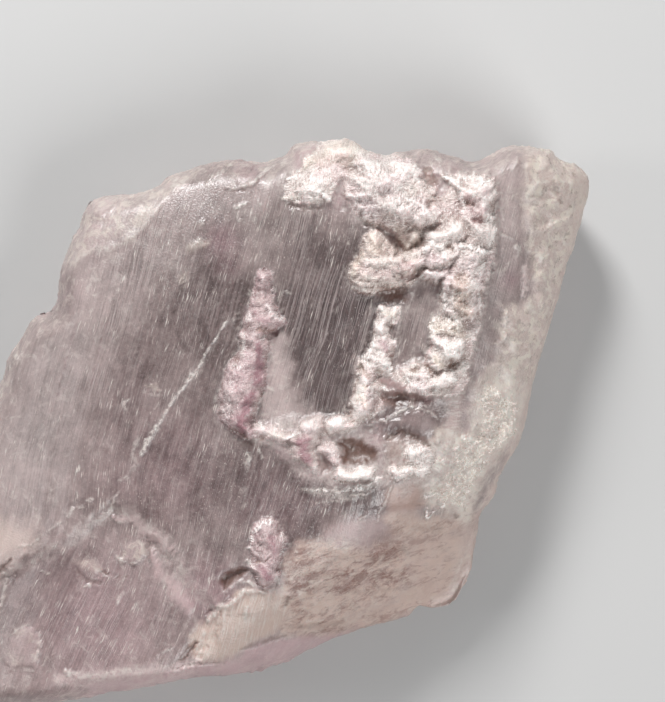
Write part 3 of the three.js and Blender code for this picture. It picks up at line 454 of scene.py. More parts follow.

# ---- Touches: lines and spots of x, y and half width, which rise or sink and carry paint ----
# "bare" takes the crust away.
# Brown on the touches marked below is painted shadow under raised crust.
TOUCHES = [
    # left part of the thick mass
    dict(at=[(-4.4, 17.2, 0.3), (-3.3, 17.5, 0.35)], rise=0.15, white=0.8, crust=0.8),
    dict(at=[(-2.2, 17.3, 0.35), (-1.1, 17, 0.4)], rise=0.15, white=0.7),
    dict(at=[(-2.2, 16.1, 0.3), (-1, 15.7, 0.4), (-0.4, 15.1, 0.3)], rise=0.35, white=0.95, crust=1),
    dict(at=[(-4.9, 15.3, 0.25), (-3.4, 15.4, 0.2)], rise=0.1, white=0.35, cream=0.4),
    # painted shadow below the left knob
    dict(at=[(-4.3, 14.6, 0.35), (-2.6, 14.3, 0.55), (-1.1, 14.4, 0.4)], rise=-0.2, brown=0.45, bare=1),
    dict(at=[(-1.3, 18.3, 0.3), (-0.3, 18.4, 0.25)], rise=-0.15, tan=0.6),
    dict(at=[(-3.4, 18.6, 0.6), (-3.6, 19.6, 0.7), (-2, 20.2, 0.5)], mauve=0.5, bare=1),
    # valley beside it
    dict(at=[(0.9, 17, 0.5), (0.7, 16.2, 0.9), (0.8, 14.8, 1)], rise=-0.3, mauve=0.3, bare=0.45),
    # folds and lobes of the thick mass
    dict(at=[(3.4, 14.6, 1), (4.8, 14.2, 1.1)], pink=0.3),
    dict(at=[(3.5, 17.5, 1.6), (4.8, 17.2, 1.5)], rise=0.35, pink=0.18),
    dict(at=[(1.4, 15.5, 0.18), (2.4, 15.5, 0.25), (3.9, 15.9, 0.15)], rise=0.3, white=0.95, crust=1),
    dict(at=[(1.9, 15.9, 0.2), (3.4, 16.2, 0.25)], rise=-0.25, brown=0.25),
    dict(at=[(2.6, 14.2, 0.12), (3.6, 14.6, 0.18), (5.2, 14.6, 0.12)], rise=0.15, white=0.6),
    dict(at=[(3, 13.5, 0.12), (4.6, 13.7, 0.15), (5.6, 13.3, 0.12)], rise=0.12, white=0.5),
    dict(at=[(4.6, 14.2, 0.2), (5.2, 15.6, 0.2)], rise=-0.15, brown=0.15),
    # painted shadow along the thick mass's lower edge
    dict(at=[(3.3, 12.7, 0.35), (4.7, 12.6, 0.4)], rise=-0.3, brown=0.6),
    dict(at=[(4.7, 12.4, 0.45), (5.6, 11.9, 0.55), (6.4, 10.9, 0.65), (7, 10.3, 0.5)], rise=-0.4, brown=0.7,
        bare=0.5),
    dict(at=[(2.6, 18.8, 0.9), (3.6, 18, 0.7)], rise=0.2, white=0.4),
    dict(at=[(6.4, 18.6, 0.8), (8, 18.2, 0.6)], rise=0.25, white=0.5),
    dict(at=[(8.2, 16.4, 1.1), (9.6, 15.6, 0.7), (10, 14.6, 0.5)], rise=0.25, cream=0.25, white=0.2),
    dict(at=[(7, 13.8, 1.5), (8.6, 13.6, 1.1)], rise=0.4, mauve=0.5, pink=0.08),
    dict(at=[(6.1, 14.5, 0.2), (6.4, 15.2, 0.25), (7.6, 15.4, 0.25), (8.6, 15.1, 0.3), (9.2, 14.4, 0.3),
        (9.8, 13.5, 0.25), (10.2, 12.9, 0.2)], rise=0.25, white=0.7),
    dict(at=[(5.9, 14.8, 0.2), (6, 13.6, 0.2)], rise=-0.15, brown=0.3),
    dict(at=[(9.5, 17.9, 0.7), (9.9, 17, 0.7), (10.3, 16.8, 0.4)], rise=-0.5, tan=0.4, bare=0.9),
    dict(at=[(10.8, 13.4, 0.35), (11.2, 13.8, 0.2)], rise=-0.2, brown=0.5),
    dict(at=[(10.3, 12.4, 0.3), (9.3, 12.3, 0.3)], rise=-0.2, brown=0.35),
    dict(at=[(7.8, 11.2, 0.3), (8.1, 11.8, 0.35)], rise=0.15, white=0.5, cream=0.4),
    dict(at=[(8.2, 10.6, 0.6)], rise=-0.3, tan=0.7, brown=0.3),
    dict(at=[(10.2, 19.4, 0.2), (10.9, 18.9, 0.3)], rise=0.15, white=0.8),
    dict(at=[(9.2, 18.7, 0.15), (9.9, 18.2, 0.3)], rise=0.1, white=0.6),
    # bridge
    dict(at=[(11.5, 10.7, 0.4), (12, 10.4, 0.3)], rise=-0.3, brown=0.6),
    # painted shadow beneath the bridge
    dict(at=[(9.2, 8.4, 0.3), (10.8, 8.6, 0.3), (12.2, 9.6, 0.2)], rise=-0.25, brown=0.4),
    dict(at=[(10.2, 9.6, 0.8)], rise=-0.25, pink=0.35),
    dict(at=[(10.3, 9.2, 0.4)], rise=-0.1, brown=0.3),
    dict(at=[(9, 10.1, 0.3), (9.8, 11, 0.35), (10.9, 10.6, 0.3), (11.2, 9.4, 0.25)], rise=0.25, white=0.7),
    # column
    dict(at=[(13.3, 15.4, 0.9), (14.4, 13.6, 1.1)], pink=0.45, tan=0.3),
    dict(at=[(13.2, 14.9, 0.5), (13.9, 14.9, 0.4)], rise=-0.3, brown=0.7, pink=0.6),
    dict(at=[(14, 13.2, 0.4), (14.7, 13.3, 0.6)], rise=-0.3, brown=0.5, pink=0.9),
    dict(at=[(15.2, 16, 0.9)], rise=0.25, pink=0.5, smooth=0.8),
    dict(at=[(15.2, 14.2, 0.7)], rise=0.2, pink=0.6, smooth=0.5),
    dict(at=[(13.2, 17.2, 0.3), (14, 17.5, 0.3), (15, 17, 0.35), (16, 16.7, 0.25)], rise=0.15, white=0.85),
    dict(at=[(12.9, 16.6, 0.25), (14.3, 16.4, 0.2)], rise=-0.2, brown=0.3),
    dict(at=[(11.1, 17.5, 0.25), (11.8, 17.1, 0.35), (12.5, 16.3, 0.35), (12.8, 15.5, 0.3), (13, 14.5, 0.3),
        (12.8, 13.8, 0.25)], rise=0.25, white=0.9),
    dict(at=[(12.2, 10.5, 0.3), (12.9, 10.8, 0.4), (14, 10.6, 0.4), (15.2, 9.9, 0.3)], rise=0.4,
        white=0.95),
    dict(at=[(12.4, 9.1, 0.9), (13.8, 9.2, 1)], rise=0.3, pink=0.2, mauve=0.5),
    dict(at=[(14.8, 8.9, 0.35)], rise=-0.2, brown=0.45),
    dict(at=[(16.2, 12.3, 0.2), (16, 11.3, 0.25), (15.5, 10.2, 0.2)], rise=0.1, white=0.7),
    dict(at=[(15.1, 8.9, 0.2), (14.8, 7.9, 0.3), (14.7, 7, 0.2)], rise=0.2, white=0.7),
    dict(at=[(12.8, 7.4, 1.3), (12.8, 5, 1.3), (13.4, 4, 0.9)], tan=0.85, brown=0.15, rise=-0.15),
    dict(at=[(11.6, 6.6, 0.18), (12.5, 6.3, 0.25)], rise=-0.25, brown=0.7),
    dict(at=[(11.4, 5.4, 0.15), (12.7, 5.2, 0.22)], rise=-0.25, brown=0.6),
    dict(at=[(12.2, 4.3, 0.3), (13, 3.8, 0.4)], rise=-0.3, brown=0.65),
    dict(at=[(11, 6.9, 0.22), (11.1, 5.8, 0.3), (11.2, 4.6, 0.3), (11.1, 3.9, 0.2)], rise=0.25, white=0.85),
    dict(at=[(13.9, 7, 0.25), (14.5, 6.2, 0.25), (14.7, 5, 0.22), (14.7, 3.9, 0.2)], rise=0.2, white=0.6),
    dict(at=[(12, 5.9, 0.15), (13.4, 6.1, 0.15)], rise=0.1, white=0.5),
    # loops and the white knob below the column
    dict(at=[(10.5, 2.4, 0.4)], rise=-0.25, tan=0.6, brown=0.15),
    dict(at=[(12.1, 2.3, 0.5)], rise=-0.3, tan=0.6, brown=0.25),
    dict(at=[(10.1, 3.3, 0.15), (9.8, 2.4, 0.22), (10, 1.7, 0.25)], rise=0.15, white=0.9),
    dict(at=[(11.2, 2.7, 0.2), (11.6, 3.2, 0.22), (12, 3.6, 0.25), (12.5, 3.1, 0.3), (12.9, 2.6, 0.2)],
        rise=0.2, white=0.8),
    dict(at=[(10.3, 1.1, 0.7), (11.5, 0.9, 0.8), (12.7, 0.8, 0.6)], rise=0.35, white=0.3),
    dict(at=[(11.7, 0, 0.4), (12.7, -0.3, 0.35)], rise=0.1, white=0.7),
    dict(at=[(10.4, -0.6, 0.8), (10.9, -1.3, 0.6)], rise=-0.3, cream=0.3, tan=0.5, smooth=0.8),
    dict(at=[(11.9, -1.5, 0.6)], rise=-0.25, brown=0.65, tan=0.4),
    dict(at=[(9.5, -1.1, 0.15), (10.2, -1.5, 0.25)], rise=0.1, white=0.6),
    # fist
    dict(at=[(3.2, 9.1, 0.5), (5.2, 9.3, 0.6), (6.9, 9.5, 0.6), (8.5, 9.8, 0.5), (9.4, 10.5, 0.4)],
        rise=0.45, white=0.25),
    dict(at=[(3.9, 11.3, 0.8), (4.2, 10.2, 1.1)], rise=0.1, cream=0.3, tan=0.6),
    dict(at=[(4.5, 10.5, 0.7), (5.6, 9.9, 0.4)], rise=-0.3, brown=0.25, tan=0.4),
    dict(at=[(3, 9.8, 0.5), (2.4, 8.7, 0.6), (2, 7.8, 0.5)], rise=0.25, cream=0.5, tan=0.5),
    dict(at=[(3.8, 8, 0.8), (5.2, 8.1, 1), (6.4, 8.5, 0.8), (7.8, 8.8, 0.5)], rise=-0.15, pink=0.4),
    dict(at=[(7, 7.5, 0.9), (8.2, 7.6, 0.5)], rise=-0.4, mauve=0.5, brown=0.15, bare=0.6),
    # painted shadow along and under the fist's lower edge
    dict(at=[(2.1, 7.3, 0.12), (3.8, 7.2, 0.14), (5, 7.3, 0.1)], rise=-0.15, brown=0.5),
    dict(at=[(3.2, 6.6, 0.12), (4, 6.6, 0.18)], rise=-0.2, brown=0.85),
    dict(at=[(2.1, 6.4, 0.3), (3, 6.1, 0.25), (4.3, 5.9, 0.15)], rise=0.2, white=0.8, cream=0.3),
    dict(at=[(4.8, 5.9, 0.5), (6.4, 5.7, 0.8), (7, 5.2, 0.6)], rise=-0.15, brown=0.9, bare=0.8, smooth=0.5),
    dict(at=[(7.3, 6.3, 0.15), (7.8, 5.9, 0.25)], rise=0.1, white=0.7),
    # the clear face under the bridge
    dict(at=[(8.8, 0.5, 0.4), (9.3, -0.2, 0.4)], rise=0.1, white=0.45),
    dict(at=[(8.1, 0.3, 0.25), (7.6, -0.6, 0.2)], rise=0.05, white=0.4),
    dict(at=[(8.6, 6.9, 0.15), (7.6, 4.6, 0.25), (7, 3.4, 0.15)], white=0.35),
    dict(at=[(7, 5, 0.2), (6.6, 2.4, 0.3)], white=0.2),
    dict(at=[(5.9, 2.4, 0.35)], rise=-0.2, brown=0.4, tan=0.5),
    # right arm
    dict(at=[(5, 4, 0.4), (6.2, 3.7, 0.6)], rise=0.1, cream=0.35),
    dict(at=[(4.9, 2.3, 0.7)], rise=0.25, white=0.45, pink=0.1, smooth=0.4),
    dict(at=[(5, 1, 0.7), (5.4, 0.4, 0.6)], rise=0.1, pink=0.7, smooth=0.4),
    dict(at=[(5.5, -0.1, 0.35), (5.9, -0.4, 0.25)], rise=-0.2, brown=0.6, pink=0.5),
    dict(at=[(5.7, 1.2, 0.25), (6.4, 0.8, 0.25)], rise=0.2, white=0.8),
    dict(at=[(4.2, 1.7, 0.25), (4, 0.8, 0.25), (3.4, -0.3, 0.35), (3, -1, 0.3)], rise=0.15, white=0.6),
    dict(at=[(3.7, -0.5, 0.35), (4.5, -0.7, 0.25), (5.6, -1.2, 0.35), (6, -1.9, 0.25)], rise=0.25,
        white=0.75),
    dict(at=[(4.2, -1.6, 0.4), (5, -1.9, 0.3)], rise=-0.2, tan=0.4),
    dict(at=[(2.9, -1.6, 0.5), (3.5, -2.2, 0.5)], rise=-0.2, brown=0.45, tan=0.5),
    dict(at=[(2.7, -2.6, 0.35), (3.4, -2.9, 0.3)], rise=0.2, white=0.7),
    dict(at=[(3.2, -3.3, 0.4)], rise=-0.25, tan=0.7, brown=0.2),
    dict(at=[(2.8, -4.4, 0.8), (3.3, -5.1, 0.7)], rise=0.1, cream=0.5),
    dict(at=[(5, -2.9, 0.6), (6, -3.3, 0.7), (7, -3.7, 0.5)], rise=0.25, mauve=0.6, brown=0.35, bare=1,
        smooth=0.8),
    dict(at=[(5, -3.6, 0.1), (5.8, -4.1, 0.12)], rise=0.15, white=0.7),
    dict(at=[(4.4, -4.1, 0.12), (3.9, -4.6, 0.12)], rise=0.1, white=0.5),
    # painted shadow under the arm
    dict(at=[(5.1, -4.6, 0.45), (6.3, -4.7, 0.5), (7.3, -4.4, 0.4)], rise=-0.3, brown=0.8, bare=1),
    dict(at=[(7.8, -4.6, 0.35), (9.8, -5.1, 0.35)], brown=0.35, pink=0.25),
    dict(at=[(-0.3, -7.1, 0.5), (0.6, -6.8, 0.6), (1.2, -6.7, 0.4)], rise=0.3, white=0.95),
    dict(at=[(0.2, -7.9, 0.5)], rise=-0.15, pink=0.3),
    dict(at=[(2, -7, 0.35), (3, -6.4, 0.3)], rise=-0.2, brown=0.3, tan=0.3),
    # lumps right of the arm
    # brown here: painted shade beneath the white lumps
    dict(at=[(7.9, -2, 0.35), (8.4, -1.7, 0.25)], rise=-0.15, brown=0.7, tan=0.4),
    dict(at=[(9.3, -1.3, 0.3), (9.9, -1.9, 0.35), (10.5, -2.3, 0.25)], rise=-0.15, brown=0.55, tan=0.5),
    dict(at=[(9, -1.7, 0.2), (9.6, -2.6, 0.28), (10.2, -3.4, 0.35), (10.5, -3.7, 0.35)], rise=0.3,
        white=0.7),
    dict(at=[(7.3, -2.5, 0.3), (8, -3.4, 0.25), (9, -3.8, 0.22)], rise=0.2, white=0.85),
    dict(at=[(8.6, -2.8, 0.4)], rise=-0.25, brown=0.55),
    dict(at=[(11.1, -2.5, 0.35), (12.2, -2.8, 0.3)], rise=0.15, white=0.75),
    dict(at=[(6.2, -2.9, 0.2), (6.7, -2.8, 0.18)], rise=0.1, white=0.7),
    # arcs below them
    dict(at=[(3.9, -7, 0.14), (5.2, -7, 0.16), (6.4, -6.2, 0.2), (7.9, -5.5, 0.2), (8.6, -5.7, 0.14),
        (10, -6.2, 0.12), (10.6, -6.9, 0.1)], rise=0.25, white=0.8),
    dict(at=[(9, -5.4, 0.08), (9.6, -5.6, 0.1)], rise=0.1, white=0.8),
    dict(at=[(3.8, -7.9, 0.3)], rise=0.1, white=0.6),
    dict(at=[(4.2, -6.3, 0.25)], rise=0.1, white=0.35),
    dict(at=[(5.6, -8.7, 0.35), (6.8, -8, 0.35), (7.8, -8.4, 0.4), (8.9, -8.8, 0.4), (9.8, -9.5, 0.3)],
        rise=-0.35, brown=0.75),
    dict(at=[(6, -11.2, 0.5), (7.6, -10.8, 0.3)], mauve=0.7, brown=0.2, smooth=0.7),
    dict(at=[(8.3, -11.4, 0.5)], rise=-0.2, brown=0.3, tan=0.3),
    dict(at=[(4.9, -12.6, 0.45)], rise=0.15, white=0.6, crust=0.7),
    dict(at=[(-3, -13.8, 0.3), (-1, -14.1, 0.8), (1, -14.3, 1.1), (3, -14, 1.1), (4.6, -12.9, 0.7)],
        white=0.4, crust=0.2, sparkle=1),
    dict(at=[(-2.6, -13.8, 0.12), (-1, -13.9, 0.2), (1, -14, 0.3), (3, -13.7, 0.35), (4.4, -12.9, 0.3)],
        rise=0.1, white=0.9, crust=0.6, sparkle=1),
    dict(at=[(0.2, -13.6, 0.1), (1.6, -13.6, 0.16), (3.6, -13.2, 0.2)], rise=0.1, white=0.8, crust=0.5),
    dict(at=[(1.6, -14.5, 0.12), (3.2, -14.3, 0.2), (4.4, -13.6, 0.16)], rise=0.1, white=0.8, crust=0.4),
    dict(at=[(-1.5, -15.1, 0.15), (0.6, -14.9, 0.2), (2.6, -14.6, 0.25)], rise=0.1, white=0.45),
    dict(at=[(1.2, -13.3, 0.15), (2.4, -13, 0.2), (3.6, -13, 0.15)], rise=-0.12, brown=0.4, bare=0.6),
    dict(at=[(2, -9.5, 0.06), (2.1, -10.4, 0.09)], rise=0.2, white=0.8),
    dict(at=[(0.6, -8.7, 0.1), (1.6, -8.7, 0.12)], rise=0.1, white=0.5),
    dict(at=[(3.2, -11.3, 0.3)], rise=0.1, white=0.6),
    # foot of the pink ridge
    dict(at=[(-7.2, -7.2, 0.3), (-6.8, -7.6, 0.3)], rise=0.1, white=0.7),
    dict(at=[(-6.4, -8.1, 0.5), (-5, -8.4, 0.4)], cream=0.35, white=0.2),
    dict(at=[(-4.9, -8.7, 0.15), (-3.9, -8.3, 0.25), (-3.3, -8.1, 0.2)], rise=0.25, white=0.9),
    dict(at=[(-2.9, -7.5, 0.6), (-2.1, -7.2, 0.7)], rise=0.5, white=0.45, pink=0.08, smooth=1),
    dict(at=[(-3.4, -9, 1), (-2.6, -8.7, 0.9), (-3, -10, 1.2), (-2.4, -10.8, 0.9)], rise=0.15, pink=0.95,
        tan=0.4, smooth=0.8),
    dict(at=[(-5.4, -9.8, 0.7), (-4.4, -10.6, 0.5)], milk=0.5, smooth=0.6, pink=0.15),
    dict(at=[(-7, -8.6, 0.45)], rise=-0.15, tan=0.5, brown=0.2),
    # painted shadow under the pink ridge's tip
    dict(at=[(-8.6, -9, 0.9), (-7.6, -9.3, 0.6)], brown=0.3, smooth=0.4),
    dict(at=[(-1.8, -11.6, 0.25), (-1.9, -12.4, 0.2)], rise=0.1, white=0.5),
    dict(at=[(-7.3, -9.9, 0.3), (-7, -10.5, 0.25)], rise=0.15, white=0.75),
    dict(at=[(-8.4, -10.3, 0.3), (-8.5, -11.3, 0.35), (-8.4, -12, 0.15)], rise=0.12, white=0.7),
    dict(at=[(-9.1, -12.6, 0.1), (-9, -14, 0.12), (-8.9, -15.6, 0.1)], white=0.55),
    dict(at=[(-5.9, -13.6, 0.06), (-4.4, -13.7, 0.06)], white=0.6),
    # pink ridge
    dict(at=[(-6.8, 7.7, 0.6), (-6.9, 6.9, 0.5)], rise=0.35, white=0.4, smooth=0.9),
    dict(at=[(-7.3, 6.1, 0.3)], rise=-0.1, brown=0.3),
    dict(at=[(-7.2, 5.2, 0.6)], cream=0.3, rise=0.05),
    dict(at=[(-6.4, 4.7, 0.35), (-5.9, 3.8, 0.4), (-5, 3.1, 0.35)], rise=0.35, white=0.65, smooth=0.5),
    dict(at=[(-8.4, 3.9, 0.3), (-8.5, 3.2, 0.3)], rise=0.2, white=0.75),
    dict(at=[(-7.6, 3.9, 0.9), (-6.6, 3.2, 0.9)], rise=0.25, pink=0.8, smooth=0.8),
    # painted shadow below the ridge's white-topped lump
    dict(at=[(-7.4, 2.5, 0.35), (-6.4, 2.2, 0.45), (-5.7, 1.8, 0.45)], rise=-0.4, brown=0.7, pink=0.45),
    dict(at=[(-8.3, 2.7, 0.3)], rise=-0.25, brown=0.6),
    dict(at=[(-9, 1.7, 0.45), (-8.9, 0.7, 0.45), (-9, 0, 0.4)], rise=0.15, cream=0.3, white=0.5),
    dict(at=[(-9.9, -1.2, 0.15), (-9.3, -1.5, 0.2), (-9, -1, 0.15)], rise=0.15, white=0.7),
    dict(at=[(-10, -1.7, 0.2), (-9.4, -0.6, 0.3)], rise=-0.2, brown=0.45),
    dict(at=[(-7.4, 1, 0.8), (-7.3, -1, 1), (-7.4, -2.8, 1.2)], rise=0.1, pink=1, smooth=0.85),
    dict(at=[(-8, -4, 1.1), (-8.8, -5.6, 1.3), (-9.1, -7, 1.3), (-8.9, -8, 0.9)], rise=-0.1, pink=1,
        smooth=0.85),
    dict(at=[(-8, -4.4, 0.5), (-8.9, -6, 0.6), (-9.1, -7.2, 0.6)], mauve=1, tan=0.3),
    dict(at=[(-9.4, -8.1, 0.3), (-8.6, -8.5, 0.35)], rise=-0.2, brown=0.5),
    dict(at=[(-10.1, -1.8, 0.5), (-10.3, -4, 0.8), (-10.6, -5.6, 0.7), (-10.7, -7, 0.5)], rise=0.12,
        white=0.2),
    dict(at=[(-7.2, -4.4, 0.35)], rise=-0.2, brown=0.5),
    dict(at=[(-6.9, -0.4, 0.15)], rise=0.1, white=0.9),
    dict(at=[(-6.3, -3.6, 0.2), (-5.7, -4.1, 0.12)], rise=0.1, white=0.7),
    dict(at=[(-6.2, -1.7, 0.08), (-5.4, -2.3, 0.08)], white=0.5),
    dict(at=[(-7.8, 1.9, 0.15), (-6.6, 1.5, 0.15), (-7.6, 1.1, 0.15)], rise=0.12, white=0.6),
    # pink bump, the chip and the cream block
    dict(at=[(-8.2, -19.4, 0.3), (-7.9, -18, 0.35), (-7, -16.9, 0.35), (-6, -16.9, 0.25)], rise=0.2,
        white=0.9),
    dict(at=[(-5.1, -18.2, 0.15), (-4.9, -19.2, 0.15), (-5.2, -20.4, 0.12)], rise=0.15, white=0.75),
    dict(at=[(-6.1, -18.5, 1), (-5.7, -19.8, 0.7)], rise=0.1, pink=0.9, smooth=0.7),
    dict(at=[(-7.2, -21.4, 0.7), (-6.3, -22.4, 0.9)], rise=0.1, pink=1, smooth=0.7),
    dict(at=[(-7.6, -20.9, 0.12), (-6.6, -20.6, 0.16), (-6.2, -20.2, 0.1)], rise=-0.25, brown=0.8),
    dict(at=[(-7, -23.4, 0.45), (-6.3, -23.6, 0.3)], rise=-0.2, brown=0.5, pink=0.4),
    dict(at=[(-8.5, -21.1, 0.3), (-7.9, -21.4, 0.2)], rise=0.2, white=0.9),
    dict(at=[(-5.6, -22.4, 0.25), (-5.4, -23.4, 0.2)], rise=0.1, white=0.5),
    dict(at=[(-10.7, -24, 0.15), (-9.8, -23.2, 0.3), (-8.8, -23, 0.3), (-8, -23.4, 0.25)], rise=0.2,
        white=0.7),
    dict(at=[(-10.2, -24.6, 0.3), (-11.6, -25.9, 0.3), (-12.6, -26.3, 0.3)], rise=-0.2, brown=0.4,
        pink=0.3),
    dict(at=[(-12.5, -27, 0.35), (-11.3, -25.7, 0.5), (-9.9, -25.1, 0.4), (-9, -24.1, 0.3),
        (-7.4, -24, 0.16), (-6.6, -24.1, 0.15)], rise=0.35, white=0.9),
    dict(at=[(-8.6, -25.5, 0.35), (-8.7, -26.5, 0.3)], rise=0.15, white=0.8),
    dict(at=[(-10.9, -26.6, 0.25), (-11.1, -28, 0.2)], rise=0.1, white=0.6),
    dict(at=[(-12.9, -28.2, 0.3), (-13.7, -30.2, 0.2)], rise=0.2, white=0.65),
    dict(at=[(-13.8, -29.3, 0.35), (-14.8, -30.6, 0.5), (-15.4, -30.9, 0.3)], rise=-0.4, brown=0.8),
    dict(at=[(-16, -31.9, 0.15), (-13.8, -31.3, 0.15), (-10.8, -31.2, 0.12)], rise=-0.2, brown=0.4),
    # the lower bevels
    dict(at=[(-2.6, -24, 0.8), (-0.4, -23.4, 0.5)], tan=0.7, brown=0.1),
    dict(at=[(-0.5, -21.1, 0.7), (0.4, -20.6, 0.4)], brown=0.3, tan=0.5),
    dict(at=[(3.4, -21, 0.7), (6.4, -20.4, 0.7), (7.2, -19.4, 0.4)], brown=0.2, tan=0.5),
    dict(at=[(0.2, -22.2, 0.15), (2.4, -22.6, 0.25), (5, -22.4, 0.3), (7.6, -21.8, 0.15)], brown=0.3),
    dict(at=[(1.2, -24, 0.15), (4, -24.2, 0.3), (7, -23.6, 0.15)], brown=0.3),
    dict(at=[(-4.8, -25.4, 0.4), (-4.4, -24.6, 0.3)], rise=-0.15, brown=0.5),
    dict(at=[(-4.4, -27.6, 0.35), (-2, -27.5, 0.5), (0.4, -27.3, 0.5), (1, -27.1, 0.3)], brown=0.4),
    dict(at=[(-2.6, -27.1, 0.1), (0.6, -26.7, 0.12)], rise=0.1, white=0.35),
    dict(at=[(-9.2, -29.9, 0.15), (-8, -29.5, 0.35), (-6, -28.9, 0.3), (-4.6, -28.4, 0.15)], rise=-0.15,
        brown=0.5),
    dict(at=[(9.6, -23.6, 0.9)], brown=0.18, tan=0.3),
    dict(at=[(14.3, -17.2, 0.4), (13.7, -20.4, 0.5), (12.9, -22.4, 0.5), (11.9, -24.6, 0.5)], rise=0.15,
        cream=0.3, milk=1),
    dict(at=[(13.4, -20, 0.12), (12.4, -22.2, 0.15), (11.6, -24, 0.12)], rise=0.1, white=0.3),
    dict(at=[(-3.6, -20, 0.22)], rise=0.15, white=1),
    dict(at=[(2.8, -16.9, 0.15), (3.3, -16.4, 0.12)], rise=0.1, white=0.9),
    dict(at=[(0.6, -18.4, 0.7), (1.8, -18.7, 0.4)], milk=0.8, white=0.1),
    dict(at=[(6.4, -17.3, 0.2), (7, -18, 0.12)], brown=0.3),
    dict(at=[(8.2, -17.7, 0.5), (10.6, -17.9, 0.6)], brown=0.3),
    dict(at=[(6, -19.6, 0.3), (7.6, -20.2, 0.3)], brown=0.3),
    # the beige bevel on the right
    dict(at=[(5.9, -13.3, 0.15), (5.4, -15, 0.25), (4.7, -16.2, 0.2), (4.5, -17, 0.2)], rise=0.15,
        white=0.55),
    dict(at=[(6.8, -14.3, 0.4), (7.6, -14, 0.2)], rise=0.05, white=0.35),
    dict(at=[(10.4, -13.2, 0.6), (10.7, -14.2, 0.7)], rise=-0.1, tan=0.9, brown=0.2),
    dict(at=[(12.9, -12.9, 0.3)], rise=-0.1, brown=0.5),
    dict(at=[(11.9, -12.7, 0.3), (12.2, -13.4, 0.2)], rise=-0.1, brown=0.35),
    dict(at=[(11.2, -10.4, 0.2)], rise=-0.1, brown=0.5),
    dict(at=[(8.7, -15.4, 0.4)], rise=-0.1, brown=0.5, tan=0.6),
    dict(at=[(12.4, -16.5, 0.25)], rise=-0.15, brown=0.9),
    dict(at=[(15, -11.3, 0.3), (14.6, -10.6, 0.2)], brown=0.3),
    dict(at=[(11, -15.5, 0.5)], rise=0.25, white=0.75, crust=0.7),
    dict(at=[(9.3, -14.6, 0.5), (9.9, -14.5, 0.3)], rise=0.2, white=0.65, crust=0.6),
    dict(at=[(9.5, -16.1, 0.35), (9.4, -16.8, 0.25), (10.2, -16, 0.2)], rise=0.15, white=0.7, crust=0.6),
    dict(at=[(13.5, -14, 0.6), (13.2, -14.8, 0.3)], rise=0.2, white=0.6, cream=0.2),
    dict(at=[(13.2, -8.6, 0.45), (13.9, -8.9, 0.4), (14.5, -9.2, 0.2)], rise=0.25, white=0.85),
    dict(at=[(12.6, -9.7, 0.3), (11.4, -9.9, 0.25)], rise=0.15, white=0.6),
    dict(at=[(10.7, -11, 0.4), (11.6, -11, 0.45), (12.8, -11.3, 0.3)], rise=0.2, cream=0.3, white=0.55),
    dict(at=[(16.2, -6.6, 0.4), (15.4, -5.6, 0.3), (14.9, -4.4, 0.3)], rise=0.2, white=0.7),
    dict(at=[(16, -4, 0.5), (17, -4.4, 0.4)], rise=0.15, white=0.6),
    dict(at=[(17.5, -7.4, 0.4), (17.6, -9.2, 0.4)], rise=0.1, white=0.4),
    dict(at=[(16.6, -7.4, 0.2), (16.4, -9.6, 0.2)], rise=-0.1, brown=0.3),
    dict(at=[(14.4, -7.6, 0.25), (15, -7.9, 0.2)], rise=0.15, white=0.6),
    dict(at=[(13, -3, 0.07), (14.8, -2.1, 0.08)], rise=0.1, white=0.7),
    # the right strip and rim
    dict(at=[(15.9, 14.9, 0.12), (16.8, 14.3, 0.16), (17.2, 13, 0.1)], rise=0.12, white=0.6),
    dict(at=[(16.5, 15, 0.15), (16.1, 13.9, 0.15), (16.4, 12.7, 0.15)], rise=0.12, white=0.5),
    dict(at=[(16.7, 11.7, 0.2), (17.1, 11.6, 0.15), (18.2, 11.2, 0.1)], rise=0.12, white=0.7),
    dict(at=[(18.3, 10.6, 0.25), (18.8, 10.2, 0.2), (18.5, 9.4, 0.12)], rise=0.12, white=0.75),
    dict(at=[(16.3, 8.3, 0.25), (16.8, 7.7, 0.4), (17.6, 8.6, 0.3), (17.8, 9.2, 0.15)], rise=0.1,
        white=0.45),
    dict(at=[(19.2, 8.4, 0.4), (19.4, 7, 0.4), (19.1, 5.4, 0.3)], milk=1, white=0.15, rise=0.15),
    dict(at=[(19.5, 4.7, 0.5), (20.2, 3.9, 0.4)], rise=0.15, white=0.55),
    dict(at=[(21.2, 4.8, 0.4), (21.9, 5.6, 0.3)], rise=0.15, white=0.45),
    dict(at=[(18, 0.7, 0.7), (17.4, 1.4, 0.4), (18.2, -0.2, 0.5)], rise=0.2, white=0.65),
    dict(at=[(17.5, 4, 0.15), (17.3, 2.6, 0.2), (17.1, 1.6, 0.15)], rise=0.15, white=0.5),
    dict(at=[(18.2, 2.4, 0.4)], rise=-0.1, brown=0.25),
    dict(at=[(17.6, -2.2, 0.5), (17.8, -4, 0.5)], rise=0.1, cream=0.5, white=0.25),
    dict(at=[(16.3, 1.1, 0.16)], rise=-0.1, brown=0.8),
    dict(at=[(22.2, 17, 0.3), (22.6, 15.2, 0.4), (22.9, 14.8, 0.2)], rise=-0.12, brown=0.4),
    dict(at=[(20.6, 16.8, 0.6), (19.4, 15.2, 0.4), (20.6, 15, 0.4)], rise=0.2, white=0.5),
    dict(at=[(21.6, 18.6, 0.5), (20.2, 17.8, 0.2)], rise=0.15, white=0.45),
    dict(at=[(21.8, 13.6, 0.35), (22, 12, 0.3)], rise=0.15, white=0.5),
    dict(at=[(23, 11.4, 0.3), (23.4, 10.4, 0.3)], rise=0.15, white=0.5),
    dict(at=[(20.4, 10, 0.3), (20.8, 9, 0.4), (21.6, 9.6, 0.2)], rise=0.15, white=0.5),
